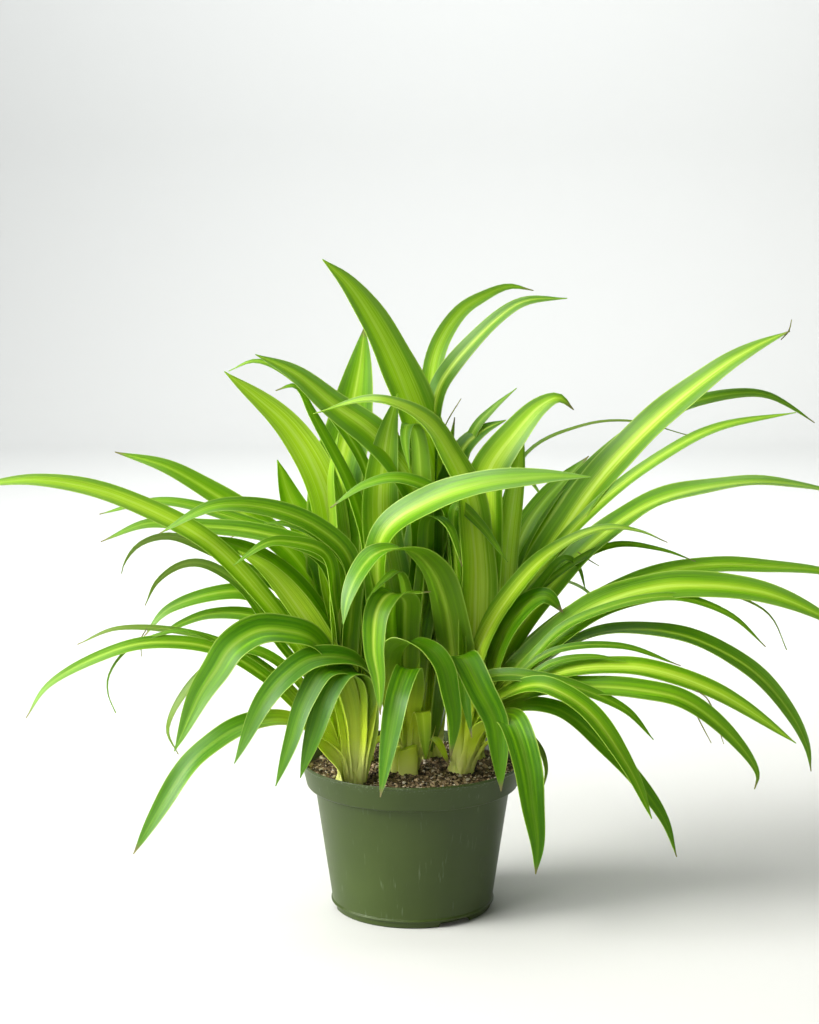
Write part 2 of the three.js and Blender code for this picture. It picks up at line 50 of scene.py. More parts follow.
POT_HEIGHT = 105 * MM
RIM_RADIUS = 77 * MM
BAND_RADIUS = 73 * MM
BAND_BOTTOM = 87 * MM
WALL_TOP_RADIUS = 67.3 * MM
WALL_FOOT_RADIUS = 55.6 * MM
RIDGE_RADIUS = 56.6 * MM
RIDGE_HEIGHT = 5.5 * MM
FOOT_RADIUS = 54.5 * MM
WALL = 1.4 * MM
FLOOR = 2.5 * MM
POT_SIDES = 224
CORNER_EASE = 0.7 * MM
NOTCH_ANGLES = (33, 153, 273)
NOTCH_HALF_WIDTH = 12.5 * MM
NOTCH_HEIGHT = 3.4 * MM
NOTCH_DEPTH = 7 * MM
POT_GREEN_LIGHT = (0.041, 0.066, 0.010, 1)
POT_GREEN_DARK = (0.024, 0.041, 0.005, 1)
SCUFF_COLOUR = (0.30, 0.38, 0.27, 1)
SCUFFS_FROM_TOP = 6 * MM


def mesh_piece(name, points, blocks, material, smooth_below=50):
    """A mesh object from points and blocks of faces, each block an array with a row of point
    numbers for each face, smooth where faces meet below that many degrees."""
    mesh = bpy.data.meshes.new(name)
    mesh.from_pydata(points.tolist(), [], sum((block.tolist() for block in blocks), []))
    mesh.update()
    mesh.polygons.foreach_set("use_smooth", np.ones(len(mesh.polygons), bool))
    mesh.set_sharp_from_angle(angle=math.radians(smooth_below))
    mesh.materials.append(material)
    piece = bpy.data.objects.new(name, mesh)
    bpy.context.scene.collection.objects.link(piece)
    return piece


def eased(corners, ease, steps=4):
    """A profile whose inner corners are rounded: each corner gives way to a parabola that leaves
    one side and meets the other at the distance ease, or at 0.4 of the shorter side."""
    corners = np.array(corners, float)
    before, corner, after = corners[:-2], corners[1:-1], corners[2:]
    back, ahead = before - corner, after - corner
    back_length = np.linalg.norm(back, axis=1, keepdims=True)
    ahead_length = np.linalg.norm(ahead, axis=1, keepdims=True)
    reach = np.minimum(ease, 0.4 * np.minimum(back_length, ahead_length))
    start = (corner + back / back_length * reach)[:, None]
    end = (corner + ahead / ahead_length * reach)[:, None]
    t = np.linspace(0, 1, steps)[None, :, None]
    arcs = (1 - t) ** 2 * start + 2 * t * (1 - t) * corner[:, None] + t**2 * end
    return np.vstack([corners[:1], arcs.reshape(-1, 2), corners[-1:]])


def turned(profile, sides):
    """A profile of radius and height carried round the Z axis: each point but the first and last,
    which lie on the axis, gives a ring at radius times cosine and sine of the angle."""
    angle = np.arange(sides) * 2 * math.pi / sides
    radius, height = profile[1:-1, 0], profile[1:-1, 1]
    rings = np.stack([
        radius[:, None] * np.sin(angle),
        -radius[:, None] * np.cos(angle),
        np.repeat(height[:, None], sides, axis=1),
    ], axis=-1)
    count = len(radius)
    points = np.vstack([[[0, 0, profile[0, 1]]], rings.reshape(-1, 3), [[0, 0, profile[-1, 1]]]])
    ring = 1 + np.arange(count - 1)[:, None] * sides
    here = np.arange(sides)
    ahead = (here + 1) % sides
    walls = np.stack([ring + here, ring + ahead, ring + sides + ahead, ring + sides + here],
                     axis=-1)
    top = 1 + (count - 1) * sides
    start_cap = np.stack([np.zeros(sides, int), 1 + ahead, 1 + here], axis=-1)
    end_cap = np.stack([np.full(sides, len(points) - 1), top + here, top + ahead], axis=-1)
    return points, [walls.reshape(-1, 4), start_cap, end_cap]


def node(tree, kind, inputs=None, **settings):
    """One shader node, with its settings, and its inputs given as numbers or as other outputs."""
    made = tree.nodes.new(kind)
    for name, value in settings.items():
        setattr(made, name, value)
    for name, value in (inputs or {}).items():
        if isinstance(value, bpy.types.NodeSocket):
            tree.links.new(value, made.inputs[name])
        else:
            made.inputs[name].default_value = value
    return made


def calculated(tree, operation, first, second=0.0):
    """The output of a Math node."""
    return node(tree, "ShaderNodeMath", {0: first, 1: second}, operation=operation).outputs[0]


def times(tree, first, second):
    """The product of two numbers."""
    return calculated(tree, "MULTIPLY", first, second)


def plus(tree, first, second):
    """The sum of two numbers."""
    return calculated(tree, "ADD", first, second)


def one_minus(tree, value):
    """What is missing from one."""
    return calculated(tree, "SUBTRACT", 1.0, value)


def eased_step(tree, value, low, high):
    """0 where the value is at low and 1 where it is at high, with a smooth rise between."""
    made = node(tree, "ShaderNodeMapRange", {"Value": value, "From Min": low, "From Max": high},
                interpolation_type="SMOOTHSTEP")
    return made.outputs["Result"]


def mixed(tree, share, first, second):
    """One colour turning into another as the share goes from 0 to 1."""
    made = node(tree, "ShaderNodeMix", {0: share, 6: first, 7: second}, data_type="RGBA")
    return made.outputs[2]


def noise(tree, place, scale, detail=3.0, roughness=0.5):
    """Soft noise from 0 to 1 at a place in metres, with that many lumps to a metre."""
    made = node(tree, "ShaderNodeTexNoise",
                {"Vector": place, "Scale": scale, "Detail": detail, "Roughness": roughness})
    return made.outputs["Fac"]


def stretched(tree, place, x, y, z):
    """A place with each of its coordinates multiplied, which draws a pattern out along one."""
    made = node(tree, "ShaderNodeMapping", {"Vector": place, "Scale": (x, y, z)})
    return made.outputs["Vector"]


def finished(name, build):
    """A new material whose Principled shader is filled in by the given function."""
    material = bpy.data.materials.new(name)
    material.use_nodes = True
    tree = material.node_tree
    tree.nodes.clear()
    surface = build(tree)
    node(tree, "ShaderNodeOutputMaterial", {"Surface": surface})
    return material


def pot_finish(tree):
    """Satin green plastic: cloudy in its green, with faint streaks down the wall, a bloom of pale
    scuffs under the rim's edge and a fine orange-peel grain."""
    place = node(tree, "ShaderNodeTexCoord").outputs["Object"]
    height = node(tree, "ShaderNodeSeparateXYZ", {0: place}).outputs["Z"]
    clouds = noise(tree, place, 26, 4)
    streaks = noise(tree, stretched(tree, place, 420, 420, 14), 1, 3)
    green = mixed(tree, clouds, POT_GREEN_DARK, POT_GREEN_LIGHT)
    streaked = times(tree, eased_step(tree, streaks, 0.62, 0.80), 0.16)
    green = mixed(tree, streaked, green, SCUFF_COLOUR)
    flecks = noise(tree, stretched(tree, place, 1, 1, 3.2), 620, 2)
    under_edge = eased_step(tree, height, POT_HEIGHT - SCUFFS_FROM_TOP, POT_HEIGHT - 1.5 * MM)
    scuffs = times(tree, eased_step(tree, flecks, 0.60, 0.72), under_edge)
    green = mixed(tree, times(tree, scuffs, 0.55), green, SCUFF_COLOUR)
    grain = noise(tree, place, 1500, 2)
    roughness = node(tree, "ShaderNodeMapRange",
                     {"Value": clouds, "To Min": 0.34, "To Max": 0.50}).outputs["Result"]
    normal = node(tree, "ShaderNodeBump",
                  {"Height": plus(tree, grain, streaks), "Strength": 0.12,
                   "Distance": 0.2 * MM})
    return node(tree, "ShaderNodeBsdfPrincipled", {
        "Base Color": green, "Roughness": roughness, "Normal": normal.outputs[0],
        "IOR": 1.49, "Specular IOR Level": 0.35}).outputs[0]


pot_profile = eased([
    (0, 0),
    (FOOT_RADIUS - NOTCH_DEPTH - 0.2 * MM, 0),
    (FOOT_RADIUS - NOTCH_DEPTH, 0),
    (FOOT_RADIUS - 1 * MM, 0),
    (FOOT_RADIUS, 1 * MM),
    (FOOT_RADIUS + 0.5 * MM, RIDGE_HEIGHT - 0.9 * MM),
    (RIDGE_RADIUS, RIDGE_HEIGHT - 0.5 * MM),
    (RIDGE_RADIUS, RIDGE_HEIGHT + 0.5 * MM),
    (WALL_FOOT_RADIUS, RIDGE_HEIGHT + 1 * MM),
    (WALL_TOP_RADIUS, BAND_BOTTOM - 1 * MM),
    (BAND_RADIUS - 1 * MM, BAND_BOTTOM),
    (BAND_RADIUS, BAND_BOTTOM + 1 * MM),
    (RIM_RADIUS - 0.6 * MM, POT_HEIGHT - 2.4 * MM),
    (RIM_RADIUS, POT_HEIGHT - 1.6 * MM),
    (RIM_RADIUS - 0.2 * MM, POT_HEIGHT),
    (RIM_RADIUS - WALL, POT_HEIGHT - 0.2 * MM),
    (BAND_RADIUS - WALL, BAND_BOTTOM + 2.6 * MM),
    (WALL_TOP_RADIUS - WALL, BAND_BOTTOM),
    (WALL_FOOT_RADIUS - WALL, RIDGE_HEIGHT + 1 * MM),
    (FOOT_RADIUS - 2.5 * MM, FLOOR),
    (0, FLOOR),
], CORNER_EASE)
pot_points, pot_faces = turned(pot_profile, POT_SIDES)

# The notches: under the foot, every point that lies within half a notch's width of a notch's
# middle and outside its inner end is raised to the notch's height.
for angle in np.radians(NOTCH_ANGLES):
    outward = np.array([math.sin(angle), -math.cos(angle)])
    across = pot_points[:, 0] * outward[1] - pot_points[:, 1] * outward[0]
    out = pot_points[:, :2] @ outward
    cut = (np.abs(across) < NOTCH_HALF_WIDTH) & (out > FOOT_RADIUS - NOTCH_DEPTH - 4 * MM)
    cut &= np.hypot(pot_points[:, 0], pot_points[:, 1]) > FOOT_RADIUS - NOTCH_DEPTH - 0.1 * MM
    cut &= pot_points[:, 2] < NOTCH_HEIGHT
    pot_points[cut, 2] = NOTCH_HEIGHT

pot = mesh_piece("pot_moulding", pot_points, pot_faces, finished("green_plastic", pot_finish))
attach(pot, "root")
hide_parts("pot")


# Potting soil
#
# Dark peat that fills the pot to a finger's width below the rim. Its top is rough, with loose
# crumbs of peat and pale grains of perlite lying in it, all pressed together as one filling.

SOIL_EDGE = 96.5 * MM
SOIL_MIDDLE = 98.5 * MM
SOIL_TOP_RADIUS = 74.3 * MM
SOIL_RINGS = 88
SOIL_SIDES = 240
CRUMBS = 3200
PERLITE_GRAINS = 420
PEAT_DARK = (0.012, 0.008, 0.004, 1)
PEAT_BROWN = (0.190, 0.125, 0.060, 1)
PEAT_FIBRE = (0.50, 0.37, 0.22, 1)
PERLITE = (0.84, 0.76, 0.62, 1)
PERLITE_DUSTY = (0.36, 0.30, 0.22, 1)
BUMP_GRID = 96
# The hills on the soil: how far apart and how high, in mm.
HILLS = ((22, 1.5), (7, 0.9), (3.2, 0.8), (1.7, 0.5))

soil_random = np.random.default_rng(4)


def bumps(x, y, size, random):
    """Smooth random hills from -1 to 1, that far apart: random heights at the corners of a square
    grid, joined with a smoothstep along x and along y."""
    heights = random.uniform(-1, 1, (BUMP_GRID, BUMP_GRID))
    column, row = x / size + BUMP_GRID // 2, y / size + BUMP_GRID // 2
    i = np.floor(column).astype(int) % (BUMP_GRID - 1)
    j = np.floor(row).astype(int) % (BUMP_GRID - 1)
    s, t = column - np.floor(column), row - np.floor(row)
    s, t = s * s * (3 - 2 * s), t * t * (3 - 2 * t)
    low = heights[i, j] * (1 - s) + heights[i + 1, j] * s
    high = heights[i, j + 1] * (1 - s) + heights[i + 1, j + 1] * s
    return low * (1 - t) + high * t


def soil_height(x, y):
    """The soil's top: a shallow dome, with hills 22, 7, 3.2 and 1.7 mm apart that get lower as
    they get closer, and that fade out at the pot's wall."""
    radius = np.hypot(x, y)
    dome = SOIL_EDGE + (SOIL_MIDDLE - SOIL_EDGE) * (1 - (radius / SOIL_TOP_RADIUS) ** 2)
    random = np.random.default_rng(11)
    rough = sum(height * MM * bumps(x, y, size * MM, random) for size, height in HILLS)
    return dome + rough * np.clip((SOIL_TOP_RADIUS - radius) / (3 * MM), 0.25, 1)


def soil_finish(tree):
    """Moist peat: near black in its hollows and brown on its crumbs, with light fibres and pale
    perlite by each crumb's own number, and a coarse dull grain."""
    place = node(tree, "ShaderNodeTexCoord").outputs["Object"]
    kind = node(tree, "ShaderNodeAttribute", attribute_name="crumb").outputs["Fac"]
    lumps = noise(tree, place, 420, 5, 0.65)
    fine = noise(tree, place, 1900, 3, 0.6)
    peat = mixed(tree, eased_step(tree, lumps, 0.38, 0.66), PEAT_DARK, PEAT_BROWN)
    peat = mixed(tree, times(tree, eased_step(tree, fine, 0.56, 0.70), 0.5), peat, PEAT_FIBRE)
    peat = mixed(tree, times(tree, eased_step(tree, kind, 0.45, 0.85), 0.85), peat, PEAT_FIBRE)
    sodden = times(tree, eased_step(tree, kind, 0.02, 0.04), eased_step(tree, kind, 0.40, 0.30))
    peat = mixed(tree, times(tree, sodden, 0.8), peat, PEAT_DARK)
    pale = mixed(tree, fine, PERLITE, PERLITE_DUSTY)
    colour = mixed(tree, eased_step(tree, kind, 1.4, 1.6), peat, pale)
    normal = node(tree, "ShaderNodeBump", {
        "Height": plus(tree, lumps, fine), "Strength": 0.8, "Distance": 0.8 * MM})
    return node(tree, "ShaderNodeBsdfPrincipled", {
        "Base Color": colour, "Roughness": 0.9, "Normal": normal.outputs[0],
        "Specular IOR Level": 0.3}).outputs[0]


def with_numbers(piece, name, values):
    """Gives each point of a piece its own number, for the material to read."""
    layer = piece.data.attributes.new(name, "FLOAT", "POINT")
    layer.data.foreach_set("value", np.asarray(values, np.float32))


soil_profile = np.array(
    [(0, FLOOR + 0.3 * MM), (FOOT_RADIUS - 3 * MM, FLOOR + 0.3 * MM),
     (WALL_FOOT_RADIUS - WALL - 0.5 * MM, RIDGE_HEIGHT + 1.2 * MM),
     (WALL_TOP_RADIUS - WALL - 0.5 * MM, BAND_BOTTOM + 0.3 * MM),
     (BAND_RADIUS - WALL - 0.4 * MM, BAND_BOTTOM + 3 * MM),
     (SOIL_TOP_RADIUS - 1.2 * MM, SOIL_EDGE - 3 * MM)]
    + [(r, SOIL_EDGE) for r in np.linspace(SOIL_TOP_RADIUS - 1 * MM, 0, SOIL_RINGS)])
soil_points, soil_faces = turned(soil_profile, SOIL_SIDES)
top_points = soil_points[:, 2] > SOIL_EDGE - 1 * MM
soil_points[top_points, 2] = soil_height(soil_points[top_points, 0], soil_points[top_points, 1])

soil_material = finished("peat", soil_finish)
soil = mesh_piece("soil_filling", soil_points, soil_faces, soil_material, 180)
with_numbers(soil, "crumb", np.zeros(len(soil_points)))
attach(soil, "root")
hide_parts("soil")

GOLDEN = (1 + 5**0.5) / 2
LUMP_POINTS = np.array([
    (-1, GOLDEN, 0), (1, GOLDEN, 0), (-1, -GOLDEN, 0), (1, -GOLDEN, 0), (0, -1, GOLDEN),
    (0, 1, GOLDEN), (0, -1, -GOLDEN), (0, 1, -GOLDEN), (GOLDEN, 0, -1), (GOLDEN, 0, 1),
    (-GOLDEN, 0, -1), (-GOLDEN, 0, 1)]) / math.hypot(1, GOLDEN)
LUMP_FACES = np.array([
    (0, 11, 5), (0, 5, 1), (0, 1, 7), (0, 7, 10), (0, 10, 11), (1, 5, 9), (5, 11, 4),
    (11, 10, 2), (10, 7, 6), (7, 1, 8), (3, 9, 4), (3, 4, 2), (3, 2, 6), (3, 6, 8), (3, 8, 9),
    (4, 9, 5), (2, 4, 11), (6, 2, 10), (8, 6, 7), (9, 8, 1)])


def scattered_lumps(count, smallest, largest, flatness, kinds):
    """Loose grains strewn over the soil: twelve-cornered lumps, each corner pushed in or out, each
    lump stretched three ways, turned about Z and set half sunk where its random place falls."""
    radius = (SOIL_TOP_RADIUS - 2.5 * MM) * np.sqrt(soil_random.uniform(0, 1, count))
    angle = soil_random.uniform(0, 2 * math.pi, count)
    x, y = radius * np.sin(angle), -radius * np.cos(angle)
    size = smallest + (largest - smallest) * soil_random.uniform(0, 1, count) ** 2.2
    corners = len(LUMP_POINTS)
    lumps = LUMP_POINTS[None] * soil_random.uniform(0.72, 1.15, (count, corners, 1))
    lumps *= size[:, None, None] / 2 * soil_random.uniform(0.7, 1.25, (count, 1, 3))
    lumps[:, :, 2] *= flatness
    turn = soil_random.uniform(0, 2 * math.pi, count)[:, None]
    turned_x = lumps[:, :, 0] * np.cos(turn) - lumps[:, :, 1] * np.sin(turn)
    turned_y = lumps[:, :, 0] * np.sin(turn) + lumps[:, :, 1] * np.cos(turn)
    lumps[:, :, 0], lumps[:, :, 1] = turned_x + x[:, None], turned_y + y[:, None]
    lumps[:, :, 2] += (soil_height(x, y) + size * 0.08)[:, None]
    faces = LUMP_FACES[None] + corners * np.arange(count)[:, None, None]
    values = soil_random.uniform(*kinds, count)
    return lumps.reshape(-1, 3), [faces.reshape(-1, 3)], np.repeat(values, corners)


crumb_points, crumb_faces, crumb_kinds = scattered_lumps(CRUMBS, 0.9 * MM, 3.4 * MM, 0.8, (0, 1))
crumbs = mesh_piece("peat_crumbs", crumb_points, crumb_faces, soil_material)
with_numbers(crumbs, "crumb", crumb_kinds)
perlite_points, perlite_faces, perlite_kinds = scattered_lumps(
    PERLITE_GRAINS, 1.1 * MM, 3.2 * MM, 0.9, (1.8, 2))
perlite = mesh_piece("perlite_grains", perlite_points, perlite_faces, soil_material)
with_numbers(perlite, "crumb", perlite_kinds)
for piece in (crumbs, perlite):
    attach(piece, "root")


# Leafy crowns
#
# Each crown grew as one piece: a short pale fleshy base in the soil, clasped by the folded feet of
# its strap leaves. The blades are thin, channelled along the middle, striped yellow-green down
# the middle between darker margins, and they run out into fine points.

CROWNS = {
    "left": (-42, -32, 12),
    "right": (33, -10, 11),
    "middle": (-3, -6, 9),
    "back": (8, 32, 11),
    "back_left": (-36, 20, 11),
    "back_right": (42, 30, 11),
}

# Each leaf: its width, the turn of its face toward the front at the base and at the tip in
# degrees, and the places that its middle line goes through after leaving the crown, all in mm.
LEAVES = {"left": [
    (16, 50, 50, (-50, -31, 130), (-77, -33, 190), (-101, -36, 225), (-137, -40, 264),
     (-202, -44, 297), (-247, -48, 306), (-292, -50, 302)),
    (16, 55, 55, (-44, -28, 180), (-42, -28, 248), (-62, -34, 271), (-95, -42, 286),
     (-131, -52, 289), (-166, -58, 272)),
    (11, 50, 50, (-46, -20, 180), (-58, -8, 240), (-76, -6, 255), (-117, -5, 272), (-170, -5, 285),
     (-212, -5, 276)),
    (14, 50, 50, (-44, -20, 190), (-48, -14, 236), (-64, -12, 252), (-106, -12, 265),
     (-142, -13, 269), (-179, -14, 271), (-210, -16, 259)),
    (8, 5, 100, (-52, -22, 160), (-70, -18, 204), (-96, -17, 231), (-140, -18, 255),
     (-161, -18, 263), (-174, -18, 262), (-186, -19, 256), (-194, -20, 245), (-196, -20, 238)),
    (8, 5, 100, (-52, -26, 140), (-90, -22, 190), (-112, -22, 226), (-127, -22, 239),
     (-143, -23, 246), (-157, -23, 244), (-172, -24, 233), (-180, -25, 217)),
    (14, 50, 50, (-54, -26, 150), (-80, -18, 199), (-107, -14, 222), (-126, -14, 224),
     (-166, -16, 212), (-182, -18, 194)),
    (12, 50, 50, (-52, -24, 140), (-76, -14, 184), (-104, -10, 205), (-136, -10, 208),
     (-158, -11, 201), (-176, -12, 190)),
    (6, 50, 50, (-52, -30, 125), (-69, -29, 146), (-96, -29, 173), (-134, -30, 195),
     (-197, -32, 203), (-225, -33, 192)),
    (10, 50, 50, (-52, -34, 124), (-77, -38, 149), (-99, -42, 172), (-132, -46, 192),
     (-175, -50, 197), (-208, -52, 188), (-243, -54, 168), (-257, -56, 147)),
    (3, 50, 50, (-54, -36, 128), (-99, -38, 170), (-150, -46, 204), (-188, -49, 193),
     (-202, -49, 175), (-203, -49, 162), (-198, -50, 149)),
    (8, 50, 50, (-54, -34, 130), (-90, -34, 180), (-116, -35, 189), (-148, -35, 166),
     (-165, -36, 134), (-158, -37, 117)),
    (25, 40, 40, (-46, -38, 140), (-54, -48, 176), (-66, -58, 201), (-83, -64, 208),
     (-101, -70, 209), (-118, -77, 200), (-128, -82, 186), (-138, -86, 171), (-155, -92, 134)),
    (21, 60, 60, (-44, -40, 146), (-58, -40, 188), (-80, -38, 224), (-98, -38, 245),
     (-116, -38, 257)),
    (12, 50, 50, (-48, -30, 180), (-52, -32, 222), (-58, -38, 255), (-82, -44, 264),
     (-96, -48, 264), (-118, -54, 250)),
    (15, 50, 50, (-44, -28, 190), (-42, -26, 245), (-63, -27, 266), (-82, -28, 273),
     (-99, -29, 274)),
    (18, 5, 60, (-49, -40, 118), (-64, -44, 133), (-84, -51, 144), (-100, -57, 145),
     (-115, -63, 142), (-130, -68, 134), (-147, -73, 120), (-168, -80, 89), (-184, -84, 62)),
    (19, 30, 30, (-30, -43, 140), (-28, -50, 170), (-38, -58, 186), (-66, -72, 191),
     (-82, -80, 182), (-97, -86, 165), (-116, -93, 126)),
    (16, 30, 30, (-34, -44, 140), (-38, -58, 176), (-57, -74, 184), (-70, -84, 166),
     (-79, -92, 140), (-89, -97, 112)),
    (19, 20, 20, (-30, -44, 140), (-36, -58, 178), (-47, -70, 182), (-56, -80, 170),
     (-63, -88, 149), (-73, -95, 117)),
    (20, 30, 30, (-46, -28, 160), (-50, -30, 215), (-53, -26, 262)),
    (18, 50, 50, (-49, -42, 110), (-58, -47, 123), (-68, -49, 136)),
], "right": [
    (33, 100, -5, (40, -10, 160), (42, -14, 215), (42, -15, 246), (36, -16, 291), (25, -17, 316),
     (8, -20, 341), (-24, -23, 356), (-66, -25, 347)),
    (30, 55, 55, (46, -4, 150), (48, 0, 230), (49, 0, 271), (51, 1, 302), (71, 3, 332),
     (87, 4, 349), (99, 4, 354), (109, 4, 346)),
    (14, 50, 50, (34, -8, 170), (30, -10, 240), (20, -12, 287), (-8, -15, 302), (-32, -18, 298),
     (-55, -21, 283)),
    (25, 60, 8, (50, -4, 150), (70, 0, 190), (101, 0, 232), (142, 0, 270), (170, -1, 286),
     (226, -2, 297), (264, -3, 295), (303, -4, 286)),
    (20, 65, 0, (40, -13, 140), (42, -15, 174), (55, -16, 205), (88, -18, 247), (125, -20, 268),
     (153, -22, 267), (171, -24, 260)),
    (6, 50, 50, (54, -8, 160), (75, -7, 210), (100, -6, 236), (136, -6, 255), (169, -7, 252),
     (192, -8, 244)),
    (21, 55, 55, (46, -16, 140), (67, -24, 168), (81, -25, 182), (121, -29, 216), (165, -32, 231),
     (192, -34, 233), (232, -37, 229), (271, -40, 214), (292, -42, 200)),
    (14, 50, 50, (54, -10, 150), (80, -8, 184), (128, -6, 218), (168, -5, 235), (207, -5, 241),
     (241, -5, 240), (276, -5, 237), (308, -5, 230)),
    (8, 50, 50, (52, -18, 140), (83, -34, 186), (101, -35, 204), (129, -36, 217), (155, -37, 224),
     (180, -38, 225), (213, -39, 213), (236, -40, 192)),
    (3, 50, 50, (60, -12, 150), (120, -14, 208), (175, -12, 230), (228, -10, 217), (244, -10, 206),
     (255, -10, 183)),
    (17, -35, 80, (56, -14, 140), (88, -20, 175), (117, -22, 194), (149, -24, 200),
     (187, -26, 195), (228, -28, 174), (256, -30, 143), (267, -32, 121), (270, -33, 104)),
    (6, 50, 50, (54, -22, 140), (90, -40, 187), (139, -42, 193), (179, -44, 180)),
    (6, 50, 50, (54, -26, 135), (89, -45, 180), (118, -47, 187), (142, -48, 184)),
    (16, 20, 60, (54, -26, 138), (95, -45, 174), (141, -48, 180), (165, -49, 177), (197, -50, 166),
     (220, -51, 154), (256, -53, 129)),
    (16, 15, 60, (52, -30, 138), (84, -50, 165), (118, -55, 168), (151, -59, 167), (179, -61, 161),
     (211, -63, 137), (229, -65, 111), (227, -66, 101)),
    (11, 40, 40, (40, -28, 140), (48, -44, 170), (64, -50, 175), (82, -55, 174), (108, -60, 169),
     (141, -66, 155), (159, -70, 136)),
    (17, 30, 30, (44, -34, 140), (69, -60, 167), (84, -68, 172), (99, -74, 168), (112, -78, 160),
     (124, -83, 148), (144, -91, 117), (156, -97, 90)),
    (14, 30, 30, (50, -38, 136), (72, -56, 155), (98, -60, 153), (129, -63, 128), (152, -66, 103),
     (168, -67, 79), (176, -68, 55)),
    (30, 40, 40, (50, -12, 160), (69, -20, 208), (89, -24, 223), (101, -28, 213)),
    (30, -50, 20, (32, -10, 140), (29, -12, 170), (22, -26, 218), (12, -40, 246), (-2, -52, 260),
     (-23, -65, 260), (-35, -72, 248), (-42, -77, 233), (-45, -81, 216)),
    (22, 10, 10, (33, -24, 150), (28, -42, 183), (33, -56, 188), (45, -74, 169), (54, -80, 152),
     (56, -84, 139), (58, -88, 106)),
    (10, 10, 10, (33, -22, 140), (29, -54, 180), (33, -70, 173), (39, -76, 139)),
    (21, 10, 10, (44, -32, 126), (54, -56, 146), (64, -75, 151), (69, -86, 144), (75, -96, 123),
     (78, -102, 99), (81, -106, 74), (80, -108, 56)),
    (6, 10, 10, (50, -30, 122), (70, -56, 140), (84, -70, 130), (88, -75, 117), (86, -76, 104)),
    (12, 60, 60, (34, -16, 180), (30, -16, 240), (30, -20, 284), (45, -21, 272), (64, -21, 246)),
    (18, 60, 60, (52, 2, 150), (60, 8, 186), (65, 10, 251), (72, 11, 305), (75, 12, 336)),
    (8, 50, 50, (60, -8, 180), (90, -6, 233), (104, -5, 246), (112, -5, 241), (118, -5, 223)),
    (22, 0, 0, (36, -3, 180), (30, 2, 250), (27, 4, 305)),
], "middle": [
    (28, 65, 65, (-1, -14, 180), (8, -1, 250), (5, -1, 285), (-11, -3, 313), (-29, -4, 332),
     (-54, -6, 351), (-80, -8, 373), (-105, -10, 385)),
    (30, 70, 70, (-6, -8, 180), (-22, -5, 275), (-18, -5, 325), (-10, -5, 358)),
    (24, 60, 60, (-12, -14, 150), (-22, -15, 215), (-19, -22, 265), (12, -34, 290), (44, -46, 303),
     (83, -54, 309), (116, -60, 310)),
    (16, 0, 0, (4, -12, 180), (9, -12, 245), (12, -25, 277), (24, -37, 273), (33, -42, 247)),
    (10, 0, 0, (-6, -12, 150), (-4, -34, 226), (-10, -54, 246), (-20, -60, 240), (-30, -66, 229)),
    (20, 0, 0, (-7, -11, 140), (-5, -30, 205), (-6, -52, 228), (-15, -62, 232), (-23, -72, 223),
     (-25, -80, 200), (-22, -84, 180), (-21, -86, 157)),
    (12, 20, 20, (-8, -12, 140), (-14, -34, 208), (-10, -50, 228), (12, -62, 234)),
    (19, 0, 0, (-9, -12, 130), (-16, -34, 176), (-13, -48, 191), (-4, -56, 199), (11, -68, 197),
     (20, -76, 187), (24, -82, 171), (27, -86, 154), (25, -90, 130)),
    (18, 15, 0, (-3, -12, 128), (-1, -38, 168), (-3, -60, 181), (-9, -78, 169), (-15, -88, 140),
     (-21, -95, 104)),
    (12, 0, 0, (3, -14, 126), (6, -22, 142), (7, -28, 141), (9, -31, 112)),
    (8, 0, 0, (7, -10, 112), (13, -16, 122), (17, -20, 121), (25, -25, 106)),
    (9, 0, 0, (-8, -12, 112), (-14, -16, 122), (-22, -19, 123), (-32, -22, 113)),
    (17, 0, 0, (6, -4, 230), (6, -3, 300), (2, -6, 334), (-3, -10, 338), (-5, -14, 330),
     (-2, -18, 308)),
    (24, 0, 0, (-2, -10, 180), (2, -4, 250), (6, 1, 310)),
    (24, 0, 0, (-12, -6, 170), (-14, 4, 250), (-10, 10, 330)),
], "back": [
    (44, 75, 75, (12, 30, 170), (17, 25, 281), (-6, 15, 361), (-25, 6, 402), (-43, -1, 431),
     (-60, -6, 448)),
    (17, -20, 95, (10, 34, 250), (12, 36, 352), (18, 36, 386), (33, 37, 410), (48, 38, 420),
     (66, 39, 427), (83, 40, 424)),
    (19, 60, 60, (10, 32, 250), (17, 28, 353), (28, 26, 374), (60, 24, 408), (77, 23, 418),
     (105, 22, 420)),
    (13, 60, 60, (16, 28, 200), (30, 22, 290), (43, 20, 331), (55, 20, 345), (71, 20, 359)),
    (29, 60, 60, (18, 26, 200), (26, 18, 290), (35, 18, 318), (48, 19, 330), (64, 20, 337)),
    (16, 0, 0, (8, 50, 150), (4, 80, 220), (0, 115, 250), (-4, 150, 235), (-8, 175, 190)),
    (12, 0, 0, (12, 48, 130), (20, 80, 170), (26, 110, 170), (30, 130, 130), (32, 138, 90)),
    (14, 0, 0, (0, 46, 160), (-16, 70, 230), (-34, 95, 265), (-60, 120, 260), (-80, 138, 230)),
    (14, 0, 0, (14, 46, 170), (30, 70, 250), (50, 95, 290), (75, 118, 290), (98, 136, 262)),
    (11, 0, 0, (4, 46, 120), (-6, 72, 146), (-14, 98, 140), (-18, 112, 108)),
    (22, 0, 0, (16, 40, 200), (23, 34, 280), (29, 28, 338)),
    # A dark filler leaf: its green, set to the darkest, is painted shade in the gap between the
    # crowns.
    (22, 0, 0, (19, 24, 122), (24, 18, 160), (26, 15, 215), (28, 15, 270)),
], "back_left": [
    (41, 0, 0, (-46, 18, 170), (-53, 18, 240), (-52, 24, 295), (-44, 32, 329), (-36, 40, 374),
     (-33, 42, 399)),
    (28, 65, 65, (-44, 14, 180), (-54, 10, 232), (-60, 10, 287), (-83, 10, 332), (-127, 5, 372)),
    (15, 60, 60, (-32, 14, 180), (-32, 5, 254), (-38, 4, 280), (-48, 3, 305), (-68, 0, 344),
